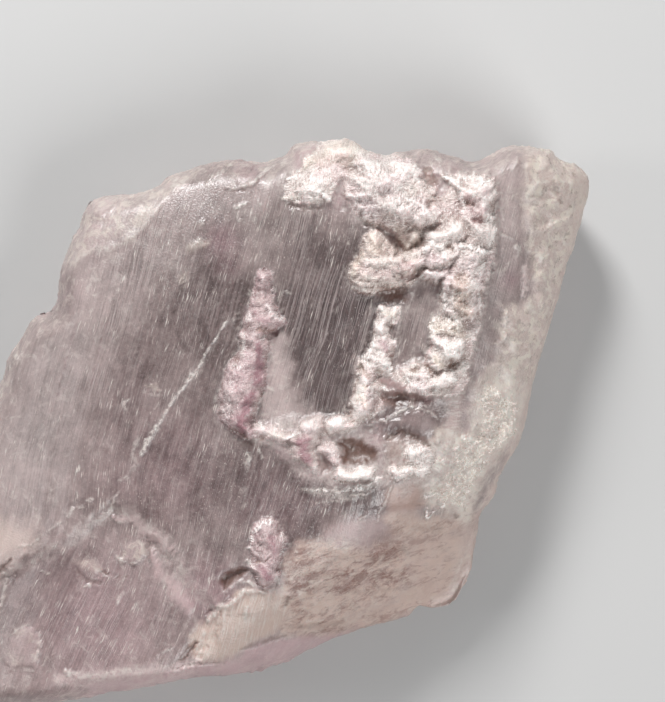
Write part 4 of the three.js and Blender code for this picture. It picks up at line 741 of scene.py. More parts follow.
    dict(at=[(23.6, 16.9, 0.3), (24.4, 16.3, 0.3)], rise=0.1, white=0.35),
    dict(at=[(17.4, 18.8, 0.12), (16.6, 16.6, 0.1)], rise=0.1, white=0.5),
    dict(at=[(18.6, 19.4, 0.2), (18.2, 18.4, 0.15), (17.6, 17.6, 0.12)], rise=0.1, white=0.5),
    dict(at=[(16.5, 20.1, 0.3), (18.4, 20.6, 0.3), (20.4, 20.3, 0.3)], milk=1, white=0.2),
    # top left
    dict(at=[(-26, 8.6, 0.25), (-25.5, 9.3, 0.35), (-24.4, 10.1, 0.5), (-23, 10, 0.4), (-21.6, 10.5, 0.5),
        (-20, 11.3, 0.4), (-18.8, 12.5, 0.4), (-18.2, 13.3, 0.45), (-17.5, 14.2, 0.35), (-16.9, 15, 0.3)],
        rise=0.18, white=0.5),
    dict(at=[(-15.9, 16.8, 0.9), (-14.8, 16.8, 0.6)], rise=0.3, white=0.75, cream=0.2),
    dict(at=[(-16.6, 17.5, 0.4), (-14.4, 18.3, 0.4)], milk=1, white=0.3),
    dict(at=[(-12.4, 17.2, 0.2), (-11.8, 17.5, 0.3), (-11, 18, 0.3)], rise=0.15, white=0.6),
    dict(at=[(-10.7, 16.4, 0.25), (-9.6, 16.2, 0.28), (-8.8, 16.5, 0.3), (-8, 16.9, 0.35),
        (-7.2, 17.5, 0.3), (-6.6, 18.1, 0.35), (-5.8, 18.6, 0.3)], rise=0.3, white=0.8),
    dict(at=[(-10, 16, 0.12), (-8.6, 16.1, 0.15)], rise=-0.15, brown=0.5),
    dict(at=[(-5, 18.6, 0.3), (-4.7, 19.2, 0.2)], rise=0.1, white=0.6),
    dict(at=[(-9.8, 14.2, 0.2), (-9.4, 14.5, 0.28), (-8.7, 14.8, 0.2)], rise=0.2, white=0.85),
    dict(at=[(-9.5, 13.8, 0.2), (-9.4, 13, 0.16)], rise=0.12, white=0.7),
    dict(at=[(-7.5, 15, 0.2), (-7.2, 14.6, 0.15)], rise=0.1, white=0.6),
    dict(at=[(-14.3, 10.3, 0.5), (-13.3, 10.8, 0.7), (-12.6, 10.7, 0.4)], rise=0.12, white=0.4, cream=0.4),
    dict(at=[(-15, 7.4, 0.5), (-14.8, 6.7, 0.5)], rise=0.12, white=0.35, cream=0.3),
    dict(at=[(-13.1, 13, 0.3), (-13.2, 12.4, 0.25)], rise=0.1, white=0.4),
    dict(at=[(-4.7, 6, 0.15), (-4.3, 5.8, 0.2)], rise=0.15, white=0.85),
    dict(at=[(-25, 14.8, 0.4), (-21, 15.4, 0.4), (-18.6, 15.8, 0.4)], milk=1, white=0.2),
    dict(at=[(-23.4, 13.4, 0.4), (-21.6, 14.6, 0.3)], rise=0.1, white=0.25),
    dict(at=[(-25.6, 11.6, 0.4)], rise=0.1, white=0.2),
    # left
    dict(at=[(-10.3, 3.3, 0.08), (-10.9, 2.6, 0.12), (-11.6, 1.4, 0.15), (-12.3, 0.4, 0.12),
        (-12.9, -0.7, 0.2), (-13.4, -1.6, 0.22), (-14.2, -2.6, 0.25), (-15, -3.8, 0.15), (-15.9, -4.9, 0.2),
        (-16.6, -6, 0.2), (-17.1, -6.9, 0.18), (-17.7, -7.8, 0.3), (-18.5, -9.1, 0.3), (-19.1, -10.2, 0.3)],
        rise=0.15, white=1),
    dict(at=[(-11.4, 1.4, 0.3), (-13, -1.2, 0.5), (-14.6, -3.4, 0.7), (-16.4, -5.6, 0.4), (-18, -8.6, 0.6)],
        white=0.2),
    dict(at=[(-19.4, -8.6, 0.25), (-20, -10.3, 0.35), (-19.6, -11.4, 0.35), (-20.4, -12, 0.2)], rise=0.1,
        white=0.4),
    dict(at=[(-20.4, -12.6, 0.25), (-21.3, -13, 0.15)], rise=0.1, white=0.55),
    dict(at=[(-21.3, -14, 0.1), (-22.2, -15.6, 0.2), (-22.6, -16.3, 0.3)], rise=0.15, white=0.85),
    dict(at=[(-24, -14.8, 0.15), (-24.6, -15, 0.14)], rise=0.1, white=0.75),
    dict(at=[(-25, -15.6, 0.2), (-26, -15.8, 0.25), (-26.6, -16.5, 0.25)], rise=0.15, white=0.7),
    dict(at=[(-27.2, -17.1, 0.12), (-28.6, -18.2, 0.14)], rise=0.1, white=0.5),
    dict(at=[(-29.4, -18.8, 0.25), (-30.2, -19.4, 0.16), (-31.4, -19.5, 0.2)], rise=0.15, white=0.7),
    dict(at=[(-28.4, -13.2, 0.12), (-28.2, -14, 0.25), (-28.3, -15, 0.15)], rise=0.05, white=0.45),
    dict(at=[(-30.3, -15, 0.12), (-30.1, -15.6, 0.14), (-29.6, -15.9, 0.18)], rise=0.1, white=0.7),
    dict(at=[(-31.5, -0.6, 0.3), (-31, -0.4, 0.2)], rise=0.1, white=1),
    dict(at=[(-20.4, -4.9, 0.15), (-21, -5.2, 0.2), (-20.6, -5.9, 0.12)], rise=0.12, white=0.9),
    dict(at=[(-22.2, -5.9, 0.15)], rise=0.1, white=0.7),
    dict(at=[(-18.6, -3.5, 0.2), (-17.8, -3.6, 0.4), (-17.2, -4, 0.25)], rise=0.12, white=0.3, cream=0.3,
        smooth=0.8),
    dict(at=[(-18.8, -4.2, 0.1), (-17.4, -4.5, 0.12)], rise=0.1, white=0.4),
    dict(at=[(-13, 0.4, 0.15)], rise=0.1, white=0.6),
    dict(at=[(-10, 3.1, 0.16)], rise=0.12, white=0.95),
    dict(at=[(-8.8, 3.9, 0.1), (-10.2, 3.7, 0.1)], white=0.4),
    dict(at=[(-23.6, -10.2, 0.22)], rise=0.1, white=0.6),
    dict(at=[(-24, -9.6, 0.1), (-22.3, -9, 0.1)], white=0.4),
    dict(at=[(-30.8, -9.2, 0.16)], rise=0.1, white=0.8),
    dict(at=[(-26.4, 0.4, 0.3), (-26.6, -0.4, 0.25)], rise=0.05, white=0.3),
    dict(at=[(-29, -6.8, 0.1), (-28.9, -8.4, 0.12)], white=0.4),
    dict(at=[(-25.6, 3, 0.09), (-28, -6, 0.09)], rise=-0.1, bare=1, mauve=0.5),
    dict(at=[(-22.6, 3, 0.08), (-24.6, -5, 0.1)], rise=-0.1, bare=1, mauve=0.5),
    dict(at=[(-20.4, 4.6, 0.3), (-21.6, 0.4, 0.3)], white=0.15),
    dict(at=[(-3, -0.1, 0.06), (-0.2, 0.3, 0.1), (1, 0.3, 0.08)], white=0.5),
    dict(at=[(2.2, 1.1, 0.06), (3.4, 1.1, 0.12)], white=0.6),
    dict(at=[(0.8, -2.2, 0.3), (2, -1.9, 0.15)], white=0.15),
    # lower left
    dict(at=[(-22, -16.6, 0.3), (-21.2, -17.1, 0.4), (-20.2, -16.6, 0.5), (-19.2, -17.3, 0.6),
        (-18.8, -18.2, 0.6), (-17.6, -18.7, 0.8), (-16.6, -19.6, 0.7), (-15.8, -19.9, 0.5)], rise=0.3,
        milk=0.95, smooth=1, mauve=0.3),
    dict(at=[(-18.1, -20.2, 0.5), (-17.6, -21.4, 0.6), (-17.4, -22.4, 0.8), (-16.1, -23.4, 0.8),
        (-15.6, -24.8, 0.9), (-14.6, -25.4, 0.8), (-14.4, -26.3, 0.6)], rise=0.35, milk=0.92, smooth=1,
        mauve=0.4),
    dict(at=[(-18.6, -19.2, 0.3), (-18.3, -20.4, 0.25)], rise=-0.15, brown=0.25),
    dict(at=[(-21.7, -20.6, 0.16), (-21.2, -21.1, 0.2), (-20, -21.3, 0.2), (-19.2, -21, 0.16)], rise=0.2,
        white=0.65),
    dict(at=[(-23.3, -22.1, 0.35), (-22.6, -22.4, 0.25)], rise=-0.2, brown=0.6),
    dict(at=[(-25.6, -22, 0.3), (-24.8, -23, 0.4), (-23.4, -23.3, 0.3)], rise=-0.15, brown=0.3),
    dict(at=[(-24, -22.9, 0.1), (-22.6, -22.6, 0.14), (-21.8, -22.8, 0.08)], rise=0.12, white=0.6),
    dict(at=[(-24.8, -23.7, 0.25), (-24.3, -23.4, 0.2)], rise=0.15, white=0.95),
    dict(at=[(-22, -22.8, 0.1), (-20.6, -22.6, 0.12)], rise=-0.1, brown=0.4),
    dict(at=[(-20.9, -24.2, 0.18), (-21.5, -24.9, 0.15), (-21.7, -25.6, 0.12)], rise=0.1, white=0.75),
    dict(at=[(-29.2, -22, 0.1), (-28.4, -22.3, 0.18)], rise=0.1, white=0.7),
    dict(at=[(-32.4, -28.6, 0.15), (-31.6, -27.9, 0.2), (-30.4, -27.3, 0.16)], rise=0.15, white=0.6),
    dict(at=[(-29.4, -28.3, 0.2), (-29.4, -29.6, 0.22), (-29.9, -31.3, 0.15)], rise=0.15, white=0.55),
    dict(at=[(-28.9, -28, 0.15), (-28.6, -30, 0.2), (-29.2, -31.4, 0.15)], rise=-0.1, brown=0.2),
    dict(at=[(-32.6, -32, 0.12), (-30, -32.1, 0.14)], rise=0.1, white=0.3),
    dict(at=[(-26.8, -32, 0.2), (-26.4, -32.6, 0.25)], rise=0.15, white=0.7),
    dict(at=[(-26.8, -32.2, 0.4), (-24.6, -32.8, 0.7), (-22.6, -32.6, 0.6), (-20.4, -32, 0.7),
        (-18.6, -31.8, 0.3)], rise=0.15, white=0.75),
    dict(at=[(-27.4, -32.9, 1), (-24, -33.4, 1.3), (-20.6, -32.7, 1.2), (-17.6, -32, 0.8)], milk=1,
        white=0.3),
    dict(at=[(-17.6, -30.6, 0.15), (-16.8, -30.1, 0.15), (-15.8, -29.6, 0.12)], rise=0.12, white=0.45),
    dict(at=[(-14, -26.6, 0.2), (-13.6, -27.6, 0.3), (-14.4, -28.4, 0.25)], rise=0.1, white=0.3),
    dict(at=[(-32.2, -20.9, 0.2), (-33, -21.8, 0.4), (-34.4, -22.4, 0.4)], rise=-0.3, brown=0.5),
    dict(at=[(-32.7, -22.4, 0.25), (-33, -24.4, 0.3), (-33.6, -26.4, 0.2)], rise=0.15, white=0.6),
]

# ---- Places with painted glints, sparkling dots on the clear faces: x, y, reach and amount ----
SPARKLES = [
    (-6, 11, 3, 0.8), (-9, 10, 2, 0.8), (-10, -11, 2.5, 1), (-11, -14, 2.5, 0.8), (-9.6, -18, 2, 0.7),
    (-3, -15, 4, 0.4), (-11, 16, 3, 0.5), (9, 2, 2, 0.5), (2.8, 3.6, 1.2, 0.6), (-20, -14, 3, 0.4),
    (17, 12, 3, 0.4), (0, 12.4, 2, 0.5),
]

# ---- Places where the silky lines are strong: x, y, reach and amount ----
LINED = [
    (0, 4, 7, 1), (0, -3, 4.5, 1), (-4, 12, 4, 0.9), (-18, 12, 2.5, 0.9), (-20, 8, 2.5, 0.9),
    (-22, 3, 2.5, 0.8), (-24, -3, 2, 0.7), (-13, 5, 4, 0.6), (-5, -15, 6, 0.5), (-12, -9, 4, 0.45),
    (8, 3, 3, 0.9), (17, 8, 3, 0.6), (-25, -28, 6, 0.6),
]

# ---- Striations: the way they run, and the lean in the lower left block ----
LEAN = math.radians(15.5)
LEAN_LOWER_LEFT = math.radians(24)
LOWER_LEFT_PLACE, LOWER_LEFT_REACH = (-26, -27), 8
LOWER_LEFT_FADE = (0.6, 2.2)  # where the extra lean starts and ends to fade, as shares of the reach
BAND_WAY = (-0.25, 0.97)  # the way up across the steps of the banded places
STRATA_WAY = (0.93, 0.37)  # the way their strata run

# ---- Layers of noise: strength, size in X or across, size in Y or along, and seed ----
STRIATION_WOBBLE = [(0.25, 7, 7, 3), (0.06, 1.8, 1.8, 4)]
FACE_RIBS = [(0.06, 0.9, 9, 92), (0.04, 0.5, 5, 91)]
FACE_WAVES = [(0.09, 2.5, 5, 93)]
WALL_RIBS = [(0.16, 1.1, 8, 95), (0.09, 0.45, 5, 96)]
LONG_CLOUDS = [(0.16, 2.6, 5, 41)]
ROUND_CLOUDS = [(0.1, 1.2, 1.6, 45)]
CRUST_RIDGES = [(0.9, 3, 2.4, 80), (0.28, 1.4, 1.1, 81)]
FINE_CRUST_RIDGES = [(0.1, 0.7, 0.6, 82)]
BAND_STEPS = [(0.12, 2.4, 0.7, 84)]
FINE_RIBS = [(0.06, 2, 0.32, 87)]
ROUNDING_SWING = [(0.5, 6, 6, 141)]  # as a share of the rim's rounding
BACK_CLOUDS = [(0.3, 7, 9, 121)]

# ---- What frays the forms' edges ----
FINE_WARP, FINE_WARP_SIZE = 0.16, 0.5
WIDE_WARP, WIDE_WARP_SIZE = 0.38, 1.5
LUMP_SIZE, JAG_SIZE = 1.7, 0.35
FLECK_SIZE, FLECK_FADE = 0.5, 0.8
EDGE_JAGS = 0.25  # how far jags move an edge
ZONE_FRAY = 0.6  # how far lumps move a zone's edge, as a share of its softness

# ---- Paint on all clear faces ----
HAZE_TAIL = 0.02  # a spot's weight well outside its reach
CLEAR_CLOUDS, CLOUDY_HAZE = 0.4, 0.5  # the clouds' strength without haze, and the haze at which it is full
RIM_MILK, RIM_MILK_FALL, RIM_MILK_LUMPS = 0.85, 0.4, 0.3  # on the rim, less for each mm, and the swing
LINED_EVERYWHERE = 0.3
RIM_LACE, RIM_LACE_LUMPS, RIM_LACE_FADE = 0.3, 0.8, (0.3, 2.6)
SPOT_END = 2.5  # how many reaches from its middle a spot ends
RIM_LINED, RIM_LINED_DROP = 0.7, (0.3, 2)  # silky lines where the face has dropped to the rim

# ---- Crust ----
CRUST_LEAN = 0.2  # how far it leans over its lower edge, as a share of its height
LEAN_FADE, RISE_FADE = (0.5, 2.5), (0.1, 1.6)  # where the lean and all relief fade out near the rim
HEAP_TOE = 0.35  # width of a heap's soft foot
HEAP_FLANK = 1.2  # width of its soft flank, as a share of its edge
HEAP_DOME = 0.35  # how much of its flank is a quarter circle
HEAP_PAINT_EDGE = 0.15  # how far inside its outline its paint is full
HEAP_SWING = 0.22  # how much lumps change its height, as a share of it
HEAP_BLEND = 0.3  # width over which two heaps run together
FADE_BLUR, FADE_FACING = 0.4, (-0.1, 0.7)  # the fade starts and is full at these cosines
HOLLOW_WALL, HOLLOW_BARE = 0.25, 0.9  # how far outside its outline a hollow starts, and how bare it is
# How far inside its outline a hollow starts and has ended to take heaps and white away and to add brown, its
# painted shade.
HOLLOW_HEAP_EDGE, HOLLOW_WHITE_EDGE, HOLLOW_BROWN_EDGE = (-0.3, 0.1), (-0.2, 0.3), (-0.2, 0.2)
RIDGE_HEIGHT = 0.35  # of a ridge above a form's own height, as a share of its layer's strength
CRUST_POWER, LACE_SHARE = 1.5, 0.8  # how ridged crust and lace are for their paint
SMOOTH_RIBS, SMOOTH_RIDGES, SMOOTH_GRAINS = 0.8, 0.7, 0.8  # how much of each "smooth" takes away
CRUMB_SIZE, CRUMB_SWING, LEAST_CRUST = 0.3, 0.3, 0.05  # crumbs fray the crust where there is this much
CRUST_LIMIT = 0.5  # a triangle with more crust than this has the crust's material

# ---- Grains of the crust: size, height, tilt of the facets and seed ----
GRAINS = [(0.38, 0.09, 0.05, 71), (0.22, 0.1, 0.06, 74)]
GRAIN_FOOT = 0.45  # how far from its middle a grain sinks below the crust, as a share of its size
GRAIN_GAIN = 1.1
GRAIN_BRIGHT = 0.12  # height from a grain's foot to its brightest
PATCH_SIZE, PATCH_EDGE, PATCH_LEAST = 1.5, (-0.6, 0.2), 0.5  # patches with fewer grains

# ---- Touches: thin lines and wide spots have their own edges ----
THIN_TO_WIDE = (0.2, 0.7)
TOUCH_REACH, TOUCH_FRAY_REACH = 1.4, 0.3
WIDE_FRAY, THIN_FRAY = 0.75, 1.5
THIN_START, WIDE_FULL, THIN_FULL = 0.15, 0.9, 0.75
THIN_RISE = 0.7
TOUCH_END = -0.6  # nearness beyond which flecks carry no paint
FINE_WIDTH = 0.5  # a narrower touch that rises gets the finest cells

# ---- Frost on the terrace's lip, and dust on the faces close to the crust ----
LIP_JAGS, LIP_LUMPS, LIP_WIDTH, LIP_EDGE = 0.3, 0.9, 1.1, (0.2, 1.2)
LIP_WHITE, LIP_MILK = 0.4, 0.3
DUST_REACH, DUST_START, DUST_END = 1.3, (0.03, 0.5), (0.2, 0.7)
DUST_WHITE, DUST_FLECKS = 0.65, (0.02, 0.3)

# ---- Crevices: painted shade, brown below high crust and in deep places ----
CREVICE_PAINTED_SHADE = 0.7
OVERHANG_BLUR, OVERHANG_RISE = 0.5, 0.7  # how far up the picture the high crust lies
OVERHANG_HEIGHT = (0.45, 1.5)
DEEP_BLUR, DEEP_HEIGHT = 0.9, (0.35, 1)
CREVICE_RIM, CREVICE_CRUST_BLUR, CREVICE_CRUST = (1.5, 3.5), 0.8, (0.02, 0.3)
# How far crust stands out, which its colour turns into painted light and shade.
RAISED_LAYERS = [(0.7, 0.4), (0.65, 1.3)]  # strength, and the blur that the height is compared with

# ---- Walls and back ----
WALL_BULGE = 0.004
WALL_RIB_FADE = 2.5
RAGGED_WALL, RAGGED_WALL_SIZE = 0.2, 1.8
OUTWARD_BLUR, LEAST_SLOPE = 3, 0.01
OUTLINE_PLACES = 300  # on each side, to find the outline's middle
UNROLLED, UNROLLED_WIDTH = 10, 9  # how far the striations run on over the back's curve, and its width
BACK_MILK_RIM, BACK_MILK_MIDDLE, BACK_MILK_WIDTH = 0.9, 0.6, 8
BACK_LINED = 0.8
BACK_LACE, BACK_LACE_SIZE, BACK_LACE_EDGE = 0.4, (5, 6), (-0.1, 0.4)

# ---- Colours (linear), for the clear faces and for the crust's gaps and grains ----
# DARK_WINDOW: painted darkness of the clear places, for the little light that comes back out through clear
# crystal.
DARK_WINDOW, MILKY = (0.143, 0.103, 0.098, 1), (0.74, 0.6, 0.575, 1)
# GROOVE_TINT darkens the striations' grooves as painted shade; SILK lightens their ridges, partly their own
# whitish tone and partly painted glints.
MAUVE_TINT, GROOVE_TINT = (0.93, 0.74, 0.82, 1), (0.42, 0.41, 0.42, 1)
SILK = (0.74, 0.65, 0.63, 1)
FACE_PINK, FACE_TAN, FACE_CREAM = (0.66, 0.4, 0.46, 1), (0.61, 0.375, 0.275, 1), (0.9, 0.74, 0.62, 1)
# FACE_BROWN is both the bevels' own brown and painted shade in hollows and below high crust.
FACE_BROWN, FACE_WHITE = (0.21, 0.115, 0.085, 1), (0.98, 0.91, 0.84, 1)
LACE_LIGHT, LACE_DARK = (0.98, 0.88, 0.76, 1), (0.38, 0.3, 0.25, 1)
BAND_LIGHT, BAND_DARK = (0.86, 0.66, 0.56, 1), (0.31, 0.14, 0.105, 1)
CRUST_GAP, CRUST_GRAIN = (0.33, 0.25, 0.225, 1), (0.77, 0.695, 0.66, 1)
CREAM_GAP, CREAM_GRAIN = (0.32, 0.25, 0.18, 1), (0.78, 0.7, 0.58, 1)
PINK_GAP, PINK_GRAIN = (0.17, 0.085, 0.098, 1), (0.31, 0.165, 0.185, 1)
TAN_GAP, TAN_GRAIN = (0.26, 0.19, 0.15, 1), (0.64, 0.53, 0.44, 1)
# CRUST_BROWN is mostly painted shade in the crust's crevices and hollows and below its high parts.
CRUST_BROWN, CRUST_WHITE = (0.2, 0.11, 0.08, 1), (0.9, 0.86, 0.83, 1)

# ---- How light passes: plain transmission, refraction and absorption, and a glow from below the surface ----
KUNZITE_IOR = 1.66
TRANSMISSION = 0.5
ABSORPTION, ABSORPTION_DENSITY = (0.88, 0.66, 0.74, 1), 40.0
GLOW_DEPTH = 0.8
FACE_GLOW, FACE_GLOW_RADII = 0.2, (1.0, 0.72, 0.74)
CRUST_GLOW, CRUST_GLOW_RADII = 0.3, (1.0, 0.65, 0.65)

# ---- The stage, in metres ----
FLOOR_HALF, FLOOR_DROP = 0.6, 0.00005
FLOOR_COLOUR, FLOOR_ROUGHNESS = (0.44, 0.437, 0.433, 1), 0.7
SKY_COLOUR, SKY_STRENGTH = (0.94, 0.97, 1, 1), 0.22
# Square lamps: the way to each from the crystal, its distance, its side and its power in watts.
LAMPS = {
    "key": ((-0.25, 0.9, 0.62), 0.5, 0.12, 3.2),
    "fill": ((0.62, -0.6, 0.75), 0.6, 0.3, 2.7),
    "side": ((-0.9, 0.1, 0.6), 0.5, 0.12, 0.45),
}

# ---- Paints: amounts from 0 to 1 at each place, which the materials read ----
# "smooth" takes grain and lines away, "raised" says how far a place stands out from what is round it, and
# "bright" how bright its grain is.
# The crust paints "raised" and "bright" as light and shade.
TINTS = ("pink", "tan", "cream", "brown", "white")
FACE_PAINTS = (
    "crust", "milk", "mauve", "smooth", "lace", "bands", "ribs", "brushed", "sparkle", "lined", *TINTS,
)
CRUST_PAINTS = ("mauve", "smooth", "raised", "bright", *TINTS)
PAINTS = (*FACE_PAINTS, "raised")


# ================= Numbers =================
def ease(t):
    t = np.clip(t, 0, 1)
    return t * t * (3 - 2 * t)


def ramp(value, low, high):
    return ease((value - low) / (high - low))


def dome(t):
    """A quarter circle: steep at 0 and level at 1."""
    return np.sqrt(1 - (1 - np.clip(t, 0, 1)) ** 2)


def mix(a, b, share):
    return a + (b - a) * share


def smooth_min(a, b, width):
    share = np.maximum(width - np.abs(a - b), 0) / width
    return np.minimum(a, b) - share * share * width / 4


def smooth_max(a, b, width):
    return -smooth_min(-a, -b, width)


# ================= Noise =================
HASH_X, HASH_Y, HASH_SEED, HASH_MIX = 374761393, 668265263, 974634777, 1274126177
BITS_32, BITS_24 = 0xFFFFFFFF, 0xFFFFFF
NOISE_GAIN = 1.5


def scrambled(i, j, seed):
    """A repeatable number from 0 to 1 for each whole-number place."""
    h = (i * HASH_X + j * HASH_Y + seed * HASH_SEED) & BITS_32
    h = ((h ^ (h >> 13)) * HASH_MIX) & BITS_32
    return ((h ^ (h >> 16)) & BITS_24) / BITS_24


def noise(x, y, seed):
    """Smooth noise from about -1 to 1, with lumps about one unit across."""
    i, j = np.floor(x).astype(np.int64), np.floor(y).astype(np.int64)
    fx, fy = x - i, y - j
    wx, wy = ease(fx), ease(fy)
    total = 0
    for di, share_x in ((0, 1 - wx), (1, wx)):
        for dj, share_y in ((0, 1 - wy), (1, wy)):
            turn = 2 * np.pi * scrambled(i + di, j + dj, seed)
            total = total + share_x * share_y * (np.cos(turn) * (fx - di) + np.sin(turn) * (fy - dj))
    return NOISE_GAIN * total


def rough(x, y, seed, octaves=3, fade=0.5):
    """Noise with finer and fainter noise on it."""
    total, strength, reach = 0, 1, 0
    for octave in range(octaves):
        total = total + strength * noise(x * 2**octave, y * 2**octave, seed + octave)
        reach += strength
        strength *= fade
    return total / reach


def ridges(x, y, seed):
    """Sharp ridges round hollows about one unit across."""
    return RIDGE_HEIGHT - np.abs(noise(x, y, seed))


def layered(kind, x, y, layers, start=0):
    """The start plus a kind of noise in layers of strength, two sizes and seed."""
    return sum((strength * kind(x / wide, y / high, seed) for strength, wide, high, seed in layers), start)


def grains(x, y, seed):
    """Grains one unit apart: how far the nearest one's middle is from each place, and its tilted facet."""
    i, j = np.floor(x).astype(np.int64), np.floor(y).astype(np.int64)
    nearest = np.full(x.shape, np.inf)
    facet = np.zeros(x.shape)
    for di in (-1, 0, 1):
        for dj in (-1, 0, 1):
            gi, gj = i + di, j + dj
            dx = x - gi - scrambled(gi, gj, seed)
            dy = y - gj - scrambled(gi, gj, seed + 1)
            distance = np.hypot(dx, dy)
            turn = 2 * np.pi * scrambled(gi, gj, seed + 2)
            closer = distance < nearest
            facet = np.where(closer, dx * np.cos(turn) + dy * np.sin(turn), facet)
            nearest = np.where(closer, distance, nearest)
    return nearest, facet


# ================= Outlines and lines =================
CURVE_STEPS = 12  # places worked out from one point of a side to the next
TINY = 1e-12  # keeps the length of a segment above 0


def side_curve(points, shares):
    """Places at the given shares of the length of a smooth curve through the points."""
    ends = np.array([points[0], *points, points[-1]], float)
    t = np.linspace(0, 1, CURVE_STEPS, endpoint=False)[:, None]
    pieces = []
    for p0, p1, p2, p3 in zip(ends, ends[1:], ends[2:], ends[3:]):
        v0, v1 = (p2 - p0) / 2, (p3 - p1) / 2
        cubic, square = 2 * p1 - 2 * p2 + v0 + v1, -3 * p1 + 3 * p2 - 2 * v0 - v1
        pieces.append(cubic * t**3 + square * t**2 + v0 * t + p1)
    curve = np.vstack([*pieces, ends[-1:]])
    length = np.r_[0, np.cumsum(np.hypot(*np.diff(curve, axis=0).T))]
    return np.stack([np.interp(shares * length[-1], length, curve[:, k]) for k in (0, 1)], axis=-1)


def segment_distance(x, y, start, end):
    """The distance to a straight segment, and the share of it at the nearest place."""
    dx, dy = end[0] - start[0], end[1] - start[1]
    along = np.clip(((x - start[0]) * dx + (y - start[1]) * dy) / (dx * dx + dy * dy + TINY), 0, 1)
    return np.hypot(x - start[0] - along * dx, y - start[1] - along * dy), along


def line_distance(x, y, closed_line):
    nearest = np.full(x.shape, np.inf)
    for start, end in zip([closed_line[-1], *closed_line[:-1]], closed_line):
        nearest = np.minimum(nearest, segment_distance(x, y, start, end)[0])
    return nearest


def inside_distance(x, y, outline):
    """How far inside a closed outline each place lies; negative outside it."""
    inside = np.zeros(x.shape, bool)
    for (ax, ay), (bx, by) in zip([outline[-1], *outline[:-1]], outline):
        if ay != by:
            inside ^= ((ay > y) != (by > y)) & (x < (bx - ax) * (y - ay) / (by - ay) + ax)
    return line_distance(x, y, outline) * np.where(inside, 1, -1)


def line_nearness(x, y, points):
    """1 on a line, 0 at its half width, which changes along it, and negative beyond."""
    nearness = np.full(x.shape, -np.inf)
    for start, end in zip([points[0], *points[:-1]], points):
        distance, along = segment_distance(x, y, start, end)
        nearness = np.maximum(nearness, 1 - distance / mix(start[2], end[2], along))
    return nearness


# ================= The crystal's bare sides =================
def rim_height(x, y):
    return RIM_MIDDLE + RIM_TILT[0] * x + RIM_TILT[1] * y


def bevelled_height(x, y):
    height = FACE_HEIGHT + FACE_TILT[0] * x + FACE_TILT[1] * y
    for (at_x, at_y), uphill, slope in BEVELS:
        from_line = (x - at_x) * uphill[0] + (y - at_y) * uphill[1]
        height = smooth_min(height, FACE_HEIGHT + slope * from_line, BEVEL_BLEND)
    return height


def bare_front(x, y, rim):
    """The front without steps, striations or crust."""
    shoulder = rim_height(x, y) + RIM_HALF_WALL
    rounding = RIM_ROUNDING * layered(rough, x, y, ROUNDING_SWING, 1)
    return shoulder + (bevelled_height(x, y) - shoulder) * dome(rim / rounding)


def back(x, y, rim):
    """The back: flat in the middle, curving up to the silhouette."""
    swing = np.sin(BACK_SWING_WAVES[0] * x + BACK_SWING_START) * np.cos(BACK_SWING_WAVES[1] * y)
    inset = BACK_INSET + BACK_INSET_SWING * swing
    low_rim = rim_height(x, y) - RIM_HALF_WALL
    return low_rim * (1 - ease(dome(rim / inset)))


# ================= The front, worked out on an even map =================
def striation_places(u, v):
    """Where each place lies across and along the striations, which lean more near the lower left block."""
    from_u, from_v = u - LOWER_LEFT_PLACE[0], v - LOWER_LEFT_PLACE[1]
    extra = 1 - ramp(np.hypot(from_u, from_v) / LOWER_LEFT_REACH, *LOWER_LEFT_FADE)
    lean = LEAN + (LEAN_LOWER_LEFT - LEAN) * extra
    across = from_u * np.cos(lean) - from_v * np.sin(lean)
    along = from_u * np.sin(lean) + from_v * np.cos(lean)
    return layered(noise, u, v, STRIATION_WOBBLE, across), along


